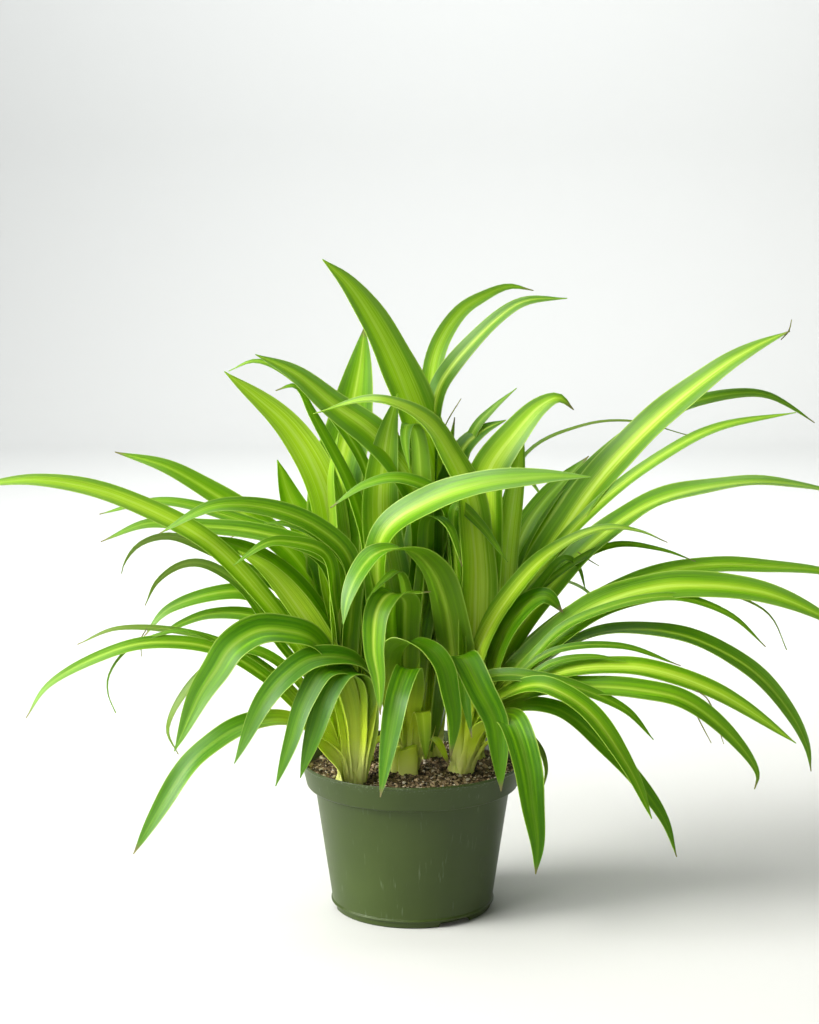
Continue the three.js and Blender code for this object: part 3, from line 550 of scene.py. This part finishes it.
     (-79, -2, 363), (-92, -4, 360)),
    (10, 60, 60, (-30, 18, 200), (-28, 14, 290), (-49, 15, 334), (-86, 16, 370), (-107, 16, 378),
     (-125, 16, 371)),
    (22, 50, 50, (-44, 20, 160), (-77, 16, 237), (-103, 15, 263), (-141, 15, 290), (-167, 14, 305),
     (-203, 13, 316)),
    (23, 50, 50, (-42, 12, 150), (-62, 0, 198), (-86, -4, 231), (-108, -6, 249), (-139, -8, 262)),
    (29, 60, 60, (-44, 22, 160), (-60, 24, 238), (-82, 25, 277), (-93, 25, 309)),
    (14, 0, 0, (-44, 42, 150), (-56, 72, 215), (-68, 104, 238), (-78, 134, 215), (-84, 150, 170)),
    (12, 0, 0, (-38, 44, 140), (-44, 80, 190), (-50, 112, 196), (-54, 134, 160), (-56, 142, 118)),
    (12, 0, 0, (-48, 34, 150), (-70, 52, 210), (-94, 66, 240), (-114, 78, 250), (-130, 86, 244)),
    (22, 0, 0, (-34, 22, 180), (-36, 26, 250), (-36, 30, 322)),
    (24, 0, 0, (-50, 14, 180), (-56, 10, 245), (-57, 10, 300), (-50, 12, 330)),
    # A dark filler leaf: its green, set to the darkest, is painted shade in the gap between the
    # crowns.
    (22, 0, 0, (-27, 12, 125), (-23, 10, 165), (-22, 11, 220), (-24, 14, 280)),
], "back_right": [
    (27, 58, 42, (50, 28, 150), (61, 25, 182), (95, 25, 244), (128, 26, 294), (166, 27, 335),
     (210, 28, 371), (234, 29, 386), (258, 30, 397)),
    (11, 50, 50, (60, 22, 180), (94, 20, 240), (128, 14, 280), (171, 12, 314), (208, 13, 333),
     (261, 14, 343)),
    (12, 50, 50, (56, 36, 170), (76, 40, 230), (114, 42, 290), (152, 42, 325), (192, 42, 346),
     (231, 43, 353), (247, 43, 351), (261, 44, 344), (279, 45, 332)),
    (24, 40, 40, (56, 42, 180), (76, 48, 249), (93, 48, 277), (123, 50, 308)),
    (3, 50, 50, (50, 38, 200), (77, 45, 308), (118, 46, 330), (152, 47, 333), (191, 48, 323)),
    (15, 0, 0, (50, 46, 150), (66, 76, 215), (80, 108, 236), (90, 136, 215), (96, 150, 172)),
    (12, 0, 0, (46, 46, 140), (52, 80, 186), (58, 112, 190), (62, 132, 158), (64, 140, 118)),
    (13, 0, 0, (54, 40, 140), (78, 58, 196), (100, 76, 214), (122, 90, 206), (140, 102, 186)),
]}

# The look of each leaf, in the same order: how strong its yellow-green stripe is, how broad that
# is as a share of the leaf, and how light the leaf's green is. That lightness is partly the leaf's
# own tone and partly painted light and shade: it is raised on leaves that lie in the shadow of
# others, lowered on leaves that face the lamps, and 0 on the dark fillers, which are painted shade
# between the crowns.
LOOKS = {"left": (
    (0.7, 1, 0.7), (0.25, 0.4, 0.45), (0.25, 0.4, 0.5), (0.3, 0.4, 0.5), (0.2, 0.4, 0.2),
    (0.2, 0.4, 0.2), (0.3, 0.4, 0.35), (0.3, 0.4, 0.45), (0.2, 0.4, 0.25), (0.35, 0.4, 0.45),
    (0.1, 0.3, 0.3), (0.1, 0.3, 0.35), (0.16, 0.3, 0.3), (1, 1.4, 1.3), (0.3, 0.4, 0.5),
    (0.35, 0.4, 0.4), (0.06, 0.3, 0.22), (0.1, 0.3, 0.15), (0.05, 0.3, 0.15), (0.06, 0.25, 0.1),
    (0.9, 1.2, 1), (1, 1.4, 1)
), "right": (
    (1, 1, 0.9), (1, 0.8, 0.6), (0.25, 0.4, 0.5), (0.5, 0.5, 0.5), (0.9, 0.9, 0.85),
    (0.2, 0.4, 0.4), (0.6, 0.5, 0.5), (0.35, 0.5, 0.5), (0.2, 0.4, 0.4), (0.1, 0.3, 0.4),
    (0.35, 0.3, 0.25), (0.2, 0.3, 0.3), (0.2, 0.3, 0.35), (0.75, 0.7, 0.6), (0.3, 0.4, 0.35),
    (0.2, 0.3, 0.35), (0.4, 0.4, 0.4), (0.08, 0.3, 0.15), (0.2, 0.5, 0.3), (0.3, 0.3, 0.25),
    (0.06, 0.3, 0.25), (0.08, 0.3, 0.25), (0.06, 0.3, 0.15), (0.1, 0.3, 0.3), (0.3, 0.5, 0.4),
    (1, 1.2, 1), (0.1, 0.3, 0.3), (0.3, 0.7, 0.3)
), "middle": (
    (0.75, 0.6, 0.5), (0.9, 0.8, 0.6), (0.34, 0.6, 0.5), (0.4, 0.3, 0.5), (0.3, 0.3, 0.5),
    (0.65, 0.3, 0.4), (0.5, 0.5, 1), (0.06, 0.3, 0.2), (0.06, 0.3, 0.15), (0.4, 0.4, 0.9),
    (0.5, 0.4, 0.8), (0.3, 0.4, 0.5), (0.5, 0.5, 0.6), (0.5, 0.9, 0.35), (0.7, 0.9, 0.5)
), "back": (
    (1.2, 0.9, 1.2), (0.5, 0.6, 0.7), (0.7, 0.4, 0.2), (0.5, 0.4, 0.5), (0.9, 0.35, 0.2),
    (0.5, 0.4, 0.5), (0.4, 0.4, 0.4), (0.5, 0.5, 0.5), (0.6, 0.4, 0.5), (0.3, 0.4, 0.4),
    (0.5, 0.8, 0.4), (0.05, 0.3, 0)
), "back_left": (
    (1, 0.5, 0.45), (1.3, 1.7, 1.6), (0.3, 0.4, 0.5), (0.5, 0.4, 0.7), (0.5, 0.4, 0.7),
    (0.35, 0.4, 0.4), (0.8, 0.7, 0.9), (0.5, 0.4, 0.5), (0.4, 0.4, 0.4), (0.5, 0.4, 0.5),
    (0.7, 0.8, 0.4), (0.9, 1, 0.6), (0.05, 0.3, 0)
), "back_right": (
    (1, 0.5, 0.5), (0.6, 0.6, 0.75), (0.3, 0.4, 0.35), (0.4, 0.4, 0.45), (0.1, 0.3, 0.3),
    (0.5, 0.4, 0.5), (0.4, 0.4, 0.4), (0.5, 0.4, 0.5)
)}

# Leaves that have turned olive toward their points, as numbers in each crown's list from 0.
OLIVE = {"left": (4, 5, 8, 11), "right": (9, 23), "back_right": (4,)}

# Dried threads that hang among the leaves: crown, then their places in mm.
THREADS = (
    ("back", (20, 12, 328), (24, 11, 338), (33, 10, 353)),
    ("right", (184, -55, 160), (190, -55, 147), (199, -56, 130)),
    ("right", (188, -56, 166), (196, -57, 160), (207, -58, 130)),
    ("right", (112, -4, 250), (119, -4, 245), (127, -4, 240)),
    ("left", (-178, -33, 203), (-182, -33, 196), (-182, -34, 184)),
    ("back_right", (252, 30, 391), (257, 30, 397), (259, 30, 405)),
)

# Cut leaf feet beside the middle crown: x, y, half width, height of the cut, all in mm.
STUBS = ((-3, -19, 6.5, 117), (-11.5, -16, 3.4, 116))

# How a leaf is built. Folds and turns are in degrees, and NARROW, ROOT_HEIGHT and ROOT_REACH are
# in millimetres, as in the leaf table.
LEAF_ROWS = 76
LEAF_COLUMNS = 11
NARROW_ROWS = 56
NARROW_COLUMNS = 7
NARROW = 9
EDGE_THICKNESS = 0.5 * MM
MIDDLE_THICKNESS = 0.85 * MM
BASE_THICKNESS = 2.6 * MM
BASE_WIDTH_SHARE = 0.55
TIP_HALF_WIDTH = 0.3 * MM
FOLD_AT_BASE = 30
FOLD_AT_TIP = 8
TAPER_POWER = 6
STRETCH_STEPS = 30
AVERAGINGS = 6
FULL_WIDTH_FROM = 0.38
FOOT_SHARE = 0.12
FOOT_FOLD = 22
TURN_SWING = 7
EDGE_WAVE = 0.055
EDGE_WAVE_LENGTH = 62 * MM
RIB_HEIGHT = 0.35 * MM
RIB_BREADTH = 0.16
ROOT_HEIGHT = 93
ROOT_REACH = 7
DRY_LENGTH = 11 * MM
DRY_FROM = 0.45
SHADE_SPREAD = 0.12
THREAD_WIDTH = 1.1 * MM
THREAD_ROWS = 16
PLUG_BOTTOM = 80 * MM
PLUG_TOP = 110 * MM
PLUG_ROOT = 85 * MM
PLUG_SWELL = 0.07
STUB_BOTTOM = 90 * MM
STUB_ROOT = 80 * MM
STUB_PINCH = 0.62
STUB_SLANT = 0.35

DARK_GREEN = (0.036, 0.160, 0.000, 1)
MID_GREEN = (0.195, 0.440, 0.000, 1)
YELLOW_GREEN = (0.560, 0.780, 0.030, 1)
GLOW_GREEN = (0.500, 0.760, 0.004, 1)
STRIPE_LIGHT = (0.720, 0.880, 0.160, 1)
UNDERSIDE = (0.300, 0.500, 0.040, 1)
FOOT_PALE = (0.720, 0.860, 0.050, 1)
FOOT_WHITE = (0.940, 0.950, 0.400, 1)
# Painted sheen: the grey of the bright room reflected by the outer leaves, painted into their
# colour.
PAINTED_SHEEN = (0.240, 0.370, 0.130, 1)
DRY_BROWN = (0.230, 0.170, 0.090, 1)

leaf_random = np.random.default_rng(7)


def smoothstep(x, low, high):
    """0 up to low, 1 from high, and 3t squared minus 2t cubed between."""
    t = np.clip((x - low) / (high - low), 0, 1)
    return t * t * (3 - 2 * t)


def middle_line(places, rows):
    """The smooth line through a leaf's places as that many evenly spaced points: on each stretch
    a cubic with the slopes of a centripetal Catmull-Rom line, then a light running average."""
    p = np.vstack([2 * places[0] - places[1], places, 2 * places[-1] - places[-2]])
    gap = np.sqrt(np.linalg.norm(np.diff(p, axis=0), axis=1))[:, None]
    d0, d1, d2 = gap[:-2], gap[1:-1], gap[2:]
    p0, p1, p2, p3 = p[:-3], p[1:-2], p[2:-1], p[3:]
    leave = ((p1 - p0) / d0 - (p2 - p0) / (d0 + d1) + (p2 - p1) / d1) * d1
    arrive = ((p2 - p1) / d1 - (p3 - p1) / (d1 + d2) + (p3 - p2) / d2) * d1
    t = np.linspace(0, 1, STRETCH_STEPS, endpoint=False)[None, :, None]
    p1, p2, leave, arrive = (v[:, None] for v in (p1, p2, leave, arrive))
    line = ((2 * t**3 - 3 * t**2 + 1) * p1 + (t**3 - 2 * t**2 + t) * leave
            + (3 * t**2 - 2 * t**3) * p2 + (t**3 - t**2) * arrive)
    line = np.vstack([line.reshape(-1, 3), places[-1:]])
    for again in range(AVERAGINGS):
        line[1:-1] = 0.5 * line[1:-1] + 0.25 * (line[:-2] + line[2:])
    run = np.concatenate([[0], np.cumsum(np.linalg.norm(np.diff(line, axis=0), axis=1))])
    even = np.linspace(0, run[-1], rows)
    return np.stack([np.interp(even, run, line[:, k]) for k in range(3)], axis=1), run[-1]


def half_width(width, u):
    """Half a leaf's width at the share u of its length: narrow at the clasping foot, full from
    two fifths on, then a taper to the point of one minus u to the power 6."""
    share = BASE_WIDTH_SHARE + (1 - BASE_WIDTH_SHARE) * smoothstep(u, 0, FULL_WIDTH_FROM)
    return np.maximum(TIP_HALF_WIDTH, width / 2 * share * (1 - u**TAPER_POWER))


def unit(vectors):
    """Each vector divided by its length."""
    return vectors / np.linalg.norm(vectors, axis=-1, keepdims=True)


def blade(line, length, width, turn_base, turn_tip, columns, waves):
    """A leaf's closed surface: over its line, the upper face runs from edge to edge at half width
    times v along the side, raised at the edges by the fold times the power 1.5 of v, with slow
    waves on each edge; the lower face runs back below it by the thickness, with a midrib."""
    rows = len(line)
    u = np.linspace(0, 1, rows)[:, None]
    along = unit(np.gradient(line, axis=0))
    lean = line[-1] - line[0]
    level = unit(np.array([-lean[1], lean[0], 0.0]))
    front = -1 if level[1] > 0 else 1
    side = unit(level - along * (along @ level)[:, None])
    up = np.cross(along, side)
    swing = TURN_SWING * np.sin(5 * u + waves[0])
    turn = np.radians(turn_base + (turn_tip - turn_base) * u + swing)
    face = unit(up * np.cos(turn) + side * np.sin(turn) * front)
    across = unit(np.cross(along, face))
    v = np.linspace(-1, 1, columns)[None]
    half = half_width(width, u)
    foot = np.clip(1 - u / FOOT_SHARE, 0, 1)
    fold = np.radians(FOLD_AT_BASE + (FOLD_AT_TIP - FOLD_AT_BASE) * np.sqrt(u) + FOOT_FOLD * foot)
    rise = half * np.sin(fold) * np.abs(v) ** 1.5
    phase = np.where(v < 0, waves[1], waves[2])
    wave = EDGE_WAVE * half * smoothstep(u, 0.15, 0.4) * v**2
    rise = rise + wave * np.sin(2 * math.pi * (length / EDGE_WAVE_LENGTH) * u + phase)
    middle = MIDDLE_THICKNESS + foot * (BASE_THICKNESS - MIDDLE_THICKNESS)
    edge = EDGE_THICKNESS + foot * 0.5 * (BASE_THICKNESS - EDGE_THICKNESS)
    thickness = middle + (edge - middle) * np.abs(v)
    thickness = np.minimum(thickness, 1.6 * half)
    rib = RIB_HEIGHT * np.exp(-((v / RIB_BREADTH) ** 2)) * np.minimum(1, half / (6 * MM))
    spread = half * np.cos(fold) * v
    upper = (line[:, None] + across[:, None] * spread[..., None]
             + face[:, None] * (rise + thickness / 2)[..., None])
    lower = (line[:, None] + across[:, None] * spread[..., None]
             + face[:, None] * (rise - thickness / 2 - rib)[..., None])
    ring = np.concatenate([upper, lower[:, ::-1]], axis=1)
    sides = np.concatenate([v, v[:, ::-1]], axis=1).repeat(rows, axis=0)
    under = np.concatenate([np.zeros(columns), np.ones(columns)])[None].repeat(rows, axis=0)
    return ring, sides, u.repeat(2 * columns, axis=1), under


def blade_faces(rows, columns):
    """Quads between the rings of a blade and over its two ends."""
    ring = 2 * columns
    here = np.arange(ring)
    ahead = (here + 1) % ring
    start = np.arange(rows - 1)[:, None] * ring
    walls = np.stack([start + here, start + ahead, start + ring + ahead, start + ring + here],
                     axis=-1).reshape(-1, 4)
    k = np.arange(columns - 1)
    root = np.stack([k, ring - 1 - k, ring - 2 - k, k + 1], axis=-1)
    tip = root[:, ::-1] + (rows - 1) * ring
    return [walls, root, tip]


def leaf_finish(tree):
    """A living leaf: green in long streaks and darker toward the margins, a yellow-green stripe of
    uneven breadth with light ribs and a bright thin line in its middle, a painted grey sheen away
    from the crown that stands for the bright room reflected by the outer leaves, a thin light edge,
    a pale foot except on the darkest leaves, which are painted as shade between the crowns, dry
    brown points and a waxy gloss. Light on its back glows through it."""
    def number(name):
        return node(tree, "ShaderNodeAttribute", attribute_name=name).outputs["Fac"]

    across, reach, share = number("across"), number("reach"), number("share")
    tone, stripe, breadth = number("tone"), number("stripe"), number("breadth")
    under, dry = number("under"), number("dry")
    blade_place = node(tree, "ShaderNodeCombineXYZ", {
        "X": across, "Y": reach, "Z": times(tree, tone, 37.0)}).outputs[0]
    streaks = noise(tree, stretched(tree, blade_place, 6, 9, 1), 1, 4, 0.65)
    ribs = noise(tree, stretched(tree, blade_place, 24, 5, 1), 1, 2, 0.5)
    clouds = noise(tree, stretched(tree, blade_place, 1.2, 20, 1), 1, 3, 0.5)

    lightness = plus(tree, streaks, times(tree, plus(tree, tone, -0.5), 0.5))
    green = mixed(tree, eased_step(tree, lightness, 0.26, 0.70), DARK_GREEN, MID_GREEN)
    from_middle = calculated(tree, "ABSOLUTE", across)
    margin = eased_step(tree, from_middle, 0.40, 0.88)
    green = mixed(tree, times(tree, margin, 0.45), green, DARK_GREEN)

    aside = plus(tree, across, times(tree, plus(tree, clouds, -0.5), 0.30))
    off_middle = calculated(tree, "ABSOLUTE", aside)
    uneven = plus(tree, calculated(tree, "DIVIDE", off_middle, breadth),
                  times(tree, plus(tree, streaks, -0.5), 1.2))
    toward_point = eased_step(tree, share, 0.60, 1.00)
    strength = times(tree, stripe, one_minus(tree, times(tree, toward_point, 0.6)))
    band = times(tree, strength, one_minus(tree, eased_step(tree, uneven, 0.12, 1.00)))
    green = mixed(tree, band, green, YELLOW_GREEN)
    ribbed = times(tree, eased_step(tree, ribs, 0.47, 0.62),
                   plus(tree, 0.05, times(tree, band, 0.55)))
    green = mixed(tree, ribbed, green, STRIPE_LIGHT)
    line_place = plus(tree, off_middle, times(tree, ribs, 0.10))
    line = one_minus(tree, eased_step(tree, line_place, 0.07, 0.19))
    green = mixed(tree, times(tree, times(tree, line, strength), 0.85), green, STRIPE_LIGHT)
    furrows = times(tree, eased_step(tree, ribs, 0.50, 0.34), 0.18)
    green = mixed(tree, furrows, green, DARK_GREEN)

    # Painted sheen: away from the crown, and most at the margins, the green is greyed as if it
    # reflected the bright room.
    painted_sheen = times(tree, eased_step(tree, reach, 0.17, 0.36),
                  plus(tree, 0.10, times(tree, margin, 0.42)))
    green = mixed(tree, painted_sheen, green, PAINTED_SHEEN)
    edge = eased_step(tree, from_middle, 0.90, 0.99)
    green = mixed(tree, times(tree, edge, 0.45), green, STRIPE_LIGHT)
    green = mixed(tree, times(tree, under, 0.35), green, UNDERSIDE)
    foot_reach = plus(tree, reach, times(tree, clouds, 0.03))
    foot = one_minus(tree, eased_step(tree, foot_reach, 0.036, 0.120))
    # Painted shade: the darkest leaves, among them the fillers between the crowns, stay dark down
    # to the soil and keep no pale foot.
    outside_painted_shade = eased_step(tree, tone, 0.02, 0.24)
    green = mixed(tree, times(tree, times(tree, foot, outside_painted_shade), 0.85), green, FOOT_PALE)
    white = one_minus(tree, eased_step(tree, reach, 0.010, 0.040))
    green = mixed(tree, times(tree, times(tree, white, outside_painted_shade), 0.7), green, FOOT_WHITE)
    green = mixed(tree, dry, green, DRY_BROWN)

    normal = node(tree, "ShaderNodeBump", {
        "Height": plus(tree, ribs, streaks), "Strength": 0.35,
        "Distance": 0.6 * MM}).outputs[0]
    roughness = node(tree, "ShaderNodeMapRange", {
        "Value": streaks, "To Min": 0.30, "To Max": 0.46}).outputs["Result"]
    surface = node(tree, "ShaderNodeBsdfPrincipled", {
        "Base Color": green, "Roughness": roughness, "Normal": normal, "IOR": 1.42,
        "Specular IOR Level": 0.24, "Coat Weight": 0.32, "Coat Roughness": 0.34}).outputs[0]
    through = mixed(tree, 0.55, green, GLOW_GREEN)
    glow = node(tree, "ShaderNodeBsdfTranslucent", {"Color": through, "Normal": normal}).outputs[0]
    thin = node(tree, "ShaderNodeMapRange", {
        "Value": reach, "From Min": 0.03, "From Max": 0.12, "To Min": 0.12,
        "To Max": 0.45}).outputs["Result"]
    return node(tree, "ShaderNodeMixShader", {0: thin, 1: surface, 2: glow}).outputs[0]


leaf_material = finished("striped_leaf", leaf_finish)


def fleshy_base(radius):
    """The crown's core: a turned plug, drawn in to a low top, whose radius swells and shrinks
    seven times round, hidden by the leaf feet that clasp it."""
    profile = eased([(0, PLUG_BOTTOM), (radius * 0.7, PLUG_BOTTOM), (radius * 0.88, 88 * MM),
                     (radius * 0.86, 97 * MM), (radius * 0.62, 105 * MM), (0, PLUG_TOP)], 3 * MM)
    points, blocks = turned(profile, 56)
    angle = np.arctan2(points[:, 1], points[:, 0])
    swell = 1 + PLUG_SWELL * np.sin(7 * angle + 40 * points[:, 2])
    points[:, :2] *= swell[:, None]
    return points, blocks


def cut_stub(x, y, half, top):
    """A leaf foot cut off: a turned stub, pinched from front to back, that tapers to a slightly
    dished cut, which slants up to the right."""
    profile = eased([(0, STUB_BOTTOM), (half * 1.1, STUB_BOTTOM), (half, top - 2 * MM),
                     (half * 0.94, top), (half * 0.6, top - 0.7 * MM), (0, top - 0.9 * MM)],
                    0.8 * MM)
    points, blocks = turned(profile, 24)
    points[:, 1] *= STUB_PINCH
    points[:, 2] += np.where(points[:, 2] > top - 4 * MM, points[:, 0] * STUB_SLANT, 0)
    return points + np.array([x, y, 0]), blocks


def part_of_crown(points, blocks, across=0.5, reach=0.0, share=0.0, tone=0.5, stripe=0.0,
                  breadth=1.0, under=0.0, dry=0.0):
    """One part of a crown with the numbers that its finish reads, one for each point: the place
    across the leaf from -1 to 1, the metres and the share of the length from the root, how light
    it is, its stripe's strength and breadth, and how far it is an underside and dry."""
    numbers = np.stack([np.broadcast_to(value, len(points))
                        for value in (across, reach, share, tone, stripe, breadth, under, dry)])
    return points, blocks, numbers


def leaf_of_crown(crown, leaf, look, olive):
    """One strap leaf. Its middle line starts in the crown's core, a little out from the core's
    axis on the side of the leaf's first place. Every other leaf or so dries at its point, and an
    olive one browns a little all along its outer half."""
    crown_x, crown_y, crown_radius = crown
    width, turn_base, turn_tip, *places = leaf
    aside = np.array(places[0][:2], float) - (crown_x, crown_y)
    reach = math.hypot(*aside) or 1
    room = max(0, min(ROOT_REACH, crown_radius - 1 - width / 2 * BASE_WIDTH_SHARE))
    root = [crown_x + aside[0] * min(1, room / reach), crown_y + aside[1] * min(1, room / reach),
            ROOT_HEIGHT]
    rows, columns = (NARROW_ROWS, NARROW_COLUMNS) if width < NARROW else (LEAF_ROWS, LEAF_COLUMNS)
    line, length = middle_line(np.array([root, *places], float) * MM, rows)
    waves = leaf_random.uniform(0, 2 * math.pi, 3)
    shade, dryness = leaf_random.uniform(0, 1, 2)
    stripe, breadth, lightness = look
    ring, sides, share, under = blade(line, length, width * MM, turn_base, turn_tip, columns,
                                      waves)
    dry = smoothstep((share - 1) * length, -DRY_LENGTH * dryness, -2 * MM) * (dryness > DRY_FROM)
    if olive:
        dry = np.maximum(dry, 0.3 * smoothstep(share, 0.5, 0.85))
    return part_of_crown(ring.reshape(-1, 3), blade_faces(rows, columns), sides.ravel(),
                         (share * length).ravel(), share.ravel(), lightness + SHADE_SPREAD * shade,
                         stripe, breadth, under.ravel(), dry.ravel())


def dried_thread(places):
    """A leaf's last thread, dried brown: a blade a millimetre wide."""
    line, length = middle_line(np.array(places, float) * MM, THREAD_ROWS)
    ring, sides, share, under = blade(line, length, THREAD_WIDTH, 0, 0, 3, (0, 0, 0))
    return part_of_crown(ring.reshape(-1, 3), blade_faces(THREAD_ROWS, 3), sides.ravel(), 0.3,
                         1.0, dry=0.9)


for crown_name, leaves in LEAVES.items():
    crown = CROWNS[crown_name]
    plug, plug_faces = fleshy_base(crown[2] * MM)
    plug[:, :2] += np.array(crown[:2]) * MM
    parts = [part_of_crown(plug, plug_faces, reach=plug[:, 2] - PLUG_ROOT, stripe=0.2)]
    if crown_name == "middle":
        for stub in STUBS:
            points, blocks = cut_stub(*np.array(stub) * MM)
            parts.append(part_of_crown(points, blocks, 0.6, points[:, 2] - STUB_ROOT, tone=0.6))
    olive_ones = OLIVE.get(crown_name, ())
    parts += [leaf_of_crown(crown, leaf, look, place in olive_ones)
              for place, (leaf, look) in enumerate(zip(leaves, LOOKS[crown_name]))]
    parts += [dried_thread(places) for owner, *places in THREADS if owner == crown_name]

    starts = np.cumsum([0] + [len(points) for points, blocks, numbers in parts])
    blocks = [block + start for start, part in zip(starts, parts) for block in part[1]]
    piece = mesh_piece(f"leaves_{crown_name}", np.vstack([part[0] for part in parts]), blocks,
                       leaf_material, 62)
    numbers = np.concatenate([part[2] for part in parts], axis=1)
    names = ("across", "reach", "share", "tone", "stripe", "breadth", "under", "dry")
    for name, values in zip(names, numbers):
        with_numbers(piece, name, values)
    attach(piece, "root")
    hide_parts(f"crown_{crown_name}")


# Floor, backdrop, lights and camera
#
# A pale floor that rises far behind the plant into a plain wall, soft lights, of which those at the
# left and above are the strongest and one is for the wall alone, and a camera a little higher than
# the plant, looking slightly down.

STAGE_COLOUR = (0.52, 0.53, 0.525, 1)
BEND_RADIUS = 0.5
WALL_AT = 2.3
FLOOR_FRONT = -3.5
WALL_HEIGHT = 4
STAGE_HALF_WIDTH = 4.0
WORLD_COLOUR = (1.0, 0.99, 0.90, 1)
WORLD_STRENGTH = 0.18
CAMERA_PLACE = (0, -1.6, 0.543)
CAMERA_TILT = 9.45
FOCAL_PIXELS = 2388
SHIFT_PIXELS = -3
FRAME_HEIGHT = 1024
SENSOR = 36


def stage_finish(tree):
    """Matt paint."""
    return node(tree, "ShaderNodeBsdfPrincipled", {
        "Base Color": STAGE_COLOUR, "Roughness": 0.85, "Specular IOR Level": 0.2}).outputs[0]


bend = np.linspace(0, math.pi / 2, 24)
sweep = np.vstack([[(FLOOR_FRONT, 0)], np.stack([WALL_AT + BEND_RADIUS * np.sin(bend),
                                                 BEND_RADIUS * (1 - np.cos(bend))], axis=1),
                   [(WALL_AT + BEND_RADIUS, WALL_HEIGHT)]])
stage_points = np.vstack([np.column_stack([np.full(len(sweep), x), sweep])
                          for x in (-STAGE_HALF_WIDTH, STAGE_HALF_WIDTH)])
row = np.arange(len(sweep) - 1)
stage_faces = np.stack([row, row + len(sweep), row + len(sweep) + 1, row + 1], axis=1)
stage = mesh_piece("floor_and_wall", stage_points, [stage_faces],
                   finished("matt_paint", stage_finish), 180)


def soft_light(name, place, aim, size, power, colour, spread=180):
    """A square lamp at a place, turned toward a point, that shines into a cone that wide."""
    lamp = bpy.data.lights.new(name, "AREA")
    lamp.size, lamp.energy, lamp.color = size, power, colour
    lamp.spread = math.radians(spread)
    holder = bpy.data.objects.new(name, lamp)
    bpy.context.scene.collection.objects.link(holder)
    holder.location = place
    way = Vector(aim) - Vector(place)
    holder.rotation_euler = way.to_track_quat("-Z", "Y").to_euler()


soft_light("key", (-2.1, -0.55, 1.15), (0, 0, 0.22), 1.4, 39, (1.0, 0.985, 0.93), 90)
soft_light("front", (-1.3, -1.3, 2.0), (0, 0, 0.35), 1.2, 14, (1.0, 0.98, 0.93), 90)
soft_light("fill", (1.9, -1.4, 1.2), (0, 0, 0.2), 1.8, 2, (1.0, 0.97, 0.92))
soft_light("top", (-0.4, 0.7, 2.1), (0, 0, 0.3), 1.8, 33, (1.0, 0.99, 0.96))
soft_light("wall", (0.0, 1.2, 1.75), (0, 2.9, 0.75), 1.6, 58, (0.975, 0.985, 1.0))
soft_light("low", (-0.35, -1.5, 0.30), (0, 0, 0.12), 0.5, 0.24, (1.0, 0.98, 0.90), 40)

world = bpy.data.worlds.new("studio")
world.use_nodes = True
sky = world.node_tree.nodes["Background"]
sky.inputs["Color"].default_value = WORLD_COLOUR
sky.inputs["Strength"].default_value = WORLD_STRENGTH
bpy.context.scene.world = world

lens = bpy.data.cameras.new("camera")
lens.sensor_width = SENSOR
lens.lens = FOCAL_PIXELS / FRAME_HEIGHT * SENSOR
lens.shift_x = SHIFT_PIXELS / FRAME_HEIGHT
lens.clip_start, lens.clip_end = 0.05, 30
camera = bpy.data.objects.new("camera", lens)
bpy.context.scene.collection.objects.link(camera)
camera.location = CAMERA_PLACE
camera.rotation_euler = (math.radians(90 - CAMERA_TILT), 0, 0)
bpy.context.scene.camera = camera
bpy.context.scene.view_settings.view_transform = "Standard"
